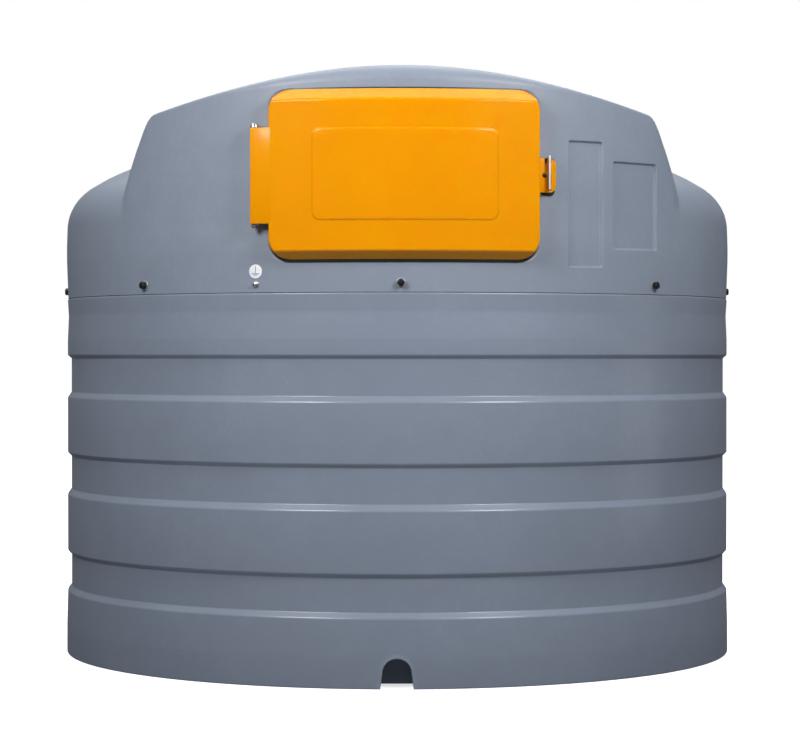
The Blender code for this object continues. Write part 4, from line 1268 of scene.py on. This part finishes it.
def build_tank():
    """Every piece with its material; each look pairs the material with a slot name."""
    cover_skin = moulded("cover_polyethylene", COVER_GREY, roughness=0.44, marks=1.0, skin=0.03)
    cover_grey = (cover_skin, "cover_grey")
    bund_skin = moulded("bund_polyethylene", BUND_GREY, roughness=0.34, marks=1.3, skin=0.28)
    bund_grey = (bund_skin, "bund_grey")
    orange = (orange_plastic("door_plastic", DOOR_ORANGE), "door_orange")
    black_bolt = (metal("bolt_black", BLACK_OXIDE, roughness=0.34, metallic=0.55), "black_steel")
    zinc = (metal("zinc_steel", ZINC, roughness=0.24, metallic=0.95), "bright_steel")
    dull_zinc = (metal("washer_steel", DULL_ZINC, roughness=0.36, metallic=0.5), "bright_steel")
    pale_zinc = (metal("blade_steel", PALE_ZINC, roughness=0.42, metallic=0.4), "bright_steel")
    white = (plain_plastic("sign_plastic", SIGN_WHITE, 0.4, 0.00005), "sign_white")
    mark_grey = (plain_plastic("sign_print", MARK_GREY, 0.5, 0.00002), "sign_white")
    black = (plain_plastic("lid_plastic", BLACK, 0.42), "black_plastic")
    walls = "front front_right right back_right back back_left left front_left"
    covers = "front_left front_right sill head back_left back_middle back_right side_left side_right crown"
    dress(bund_shell(), bund_grey, "tank", *("bund_wall_" + wall for wall in walls.split()))
    dress(notch_pocket(), bund_grey, "tank")
    dress(notch_lip(), bund_grey, "tank")
    dress(cover_shell(), cover_grey, "tank", *("cover_" + cover for cover in covers.split()))
    dress(door_pan(), orange, "door", "door")
    dress(hinge_flap(), orange, "door")
    # The black band paints the shadow line round the door's edge
    dress(door_shade_band(), black, "tank")
    dress(latch_tongue(), orange, "door")
    dress(latch_screw(), black_bolt, "door", "latch_screw")
    dress(hinge_boss(), cover_grey, "tank", "hinge_boss")
    dress(hinge_rod(), zinc, "tank", "hinge_rod")
    # The moulded keeper is dressed in the black plastic: its black, seen below the tongue, stands in partly
    # for the tongue's shade there, painted shade
    dress(latch_keeper(), black, "tank", "latch_keeper")
    dress(hasp_blade(), pale_zinc, "tank", "hasp_blade")
    for number in range(BOLTS):
        place = (2 * pi * number / BOLTS, BOLT_FACE_R, BOLT_Z)
        turn = radians(BOLT_TURNS[0] + BOLT_TURNS[1] * number)
        node = f"cover_bolt_{number + 1}"
        dress_bolt(node, BOLT_HEAD, BOLT_WASHER, place, turn, black_bolt, dull_zinc)
    place = (EARTH_AZIMUTH, BOLT_FACE_R, EARTH_BOLT_Z)
    dress_bolt("earth_bolt", EARTH_HEAD, EARTH_WASHER, place, EARTH_TURN, zinc, zinc)
    dress(earth_sign(), white, "tank", "earth_sign")
    dress(earth_marks(), mark_grey, "tank")
    dress(hatch_collar(), cover_grey, "tank", "hatch_collar")
    dress(hatch_lid(), black, "tank", "hatch_lid")
    dress(vent_cap(), cover_grey, "tank", "vent_cap")
    for node, material in (("bund_floor", bund_skin), ("cabinet_liner", cover_skin)):
        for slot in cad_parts[node].material_slots:
            slot.material = material


def softbox(name, place, aim, size, power):
    """A rectangular area light that looks at a point."""
    light = bpy.data.lights.new(name, "AREA")
    light.shape = "RECTANGLE"
    light.size, light.size_y = size
    light.energy = power
    made = bpy.data.objects.new(name, light)
    made.location = place
    made.rotation_euler = (Vector(aim) - Vector(place)).to_track_quat("-Z", "Y").to_euler()
    bpy.context.scene.collection.objects.link(made)


def build_floor():
    """A pale floor that glows more away from the tank and shows in the camera's view alone."""
    side = (-FLOOR_HALF, FLOOR_HALF)
    floor = from_points("floor", [(x, y, 0) for x, y in rectangle(side, side)], [[0, 1, 2, 3]])
    floor.location.z = -0.0005
    material, shader, place = new_material("floor_pale")
    out = add_node(material.node_tree, "VectorMath", {"operation": "LENGTH"}, i0=place).outputs["Value"]
    tone = mixed(noise(place, 0.8, 2.0), *((shade, shade, shade) for shade in FLOOR_SHADES))
    feed(shader, {"Base Color": tone, "Roughness": 0.9, "Specular IOR Level": 0.0,
                  "Emission Color": (1.0, 1.0, 1.0, 1.0),
                  "Emission Strength": ranged(out, 1.2, 4.0, 0.66, 1.0)})
    floor.data.materials.append(material)
    floor.visible_diffuse = False
    floor.visible_glossy = False


def build_world():
    """A white background, light from all round that is strongest from above, and the floor's glow."""
    world = bpy.data.worlds.new("studio")
    bpy.context.scene.world = world
    world.use_nodes = True
    tree = world.node_tree
    tree.nodes.clear()
    seen = add_node(tree, "LightPath").outputs["Is Camera Ray"]
    direction = add_node(tree, "TexCoord").outputs["Generated"]
    up = add_node(tree, "SeparateXYZ", Vector=direction).outputs["Z"]
    ambient = maths("ADD", ranged(up, -0.3, 0.5, AMBIENT_BELOW, AMBIENT_ABOVE),
                    ranged(up, -0.95, -0.75, FLOOR_GLOW, 0.0))
    tint = mixed(seen, AMBIENT_TINT, (1.0, 1.0, 1.0))
    strength = maths("MAXIMUM", seen, ambient)
    background = add_node(tree, "Background", Color=tint, Strength=strength)
    add_node(tree, "OutputWorld", Surface=background.outputs[0])


def build_camera():
    """The photo's camera."""
    camera = bpy.data.cameras.new("camera")
    camera.sensor_width = CAMERA_SENSOR
    camera.lens = CAMERA_LENS
    made = bpy.data.objects.new("camera", camera)
    made.location = (CAMERA_DISTANCE * sin(CAMERA_AZIMUTH), -CAMERA_DISTANCE * cos(CAMERA_AZIMUTH), CAMERA_Z)
    made.rotation_euler = (pi / 2 - CAMERA_DROP, 0.0, CAMERA_AZIMUTH + CAMERA_TURN)
    bpy.context.scene.collection.objects.link(made)
    bpy.context.scene.camera = made
    bpy.context.scene.view_settings.view_transform = "Standard"


build_tank()
build_floor()
build_world()
for light in LIGHTS:
    softbox(*light)
build_camera()
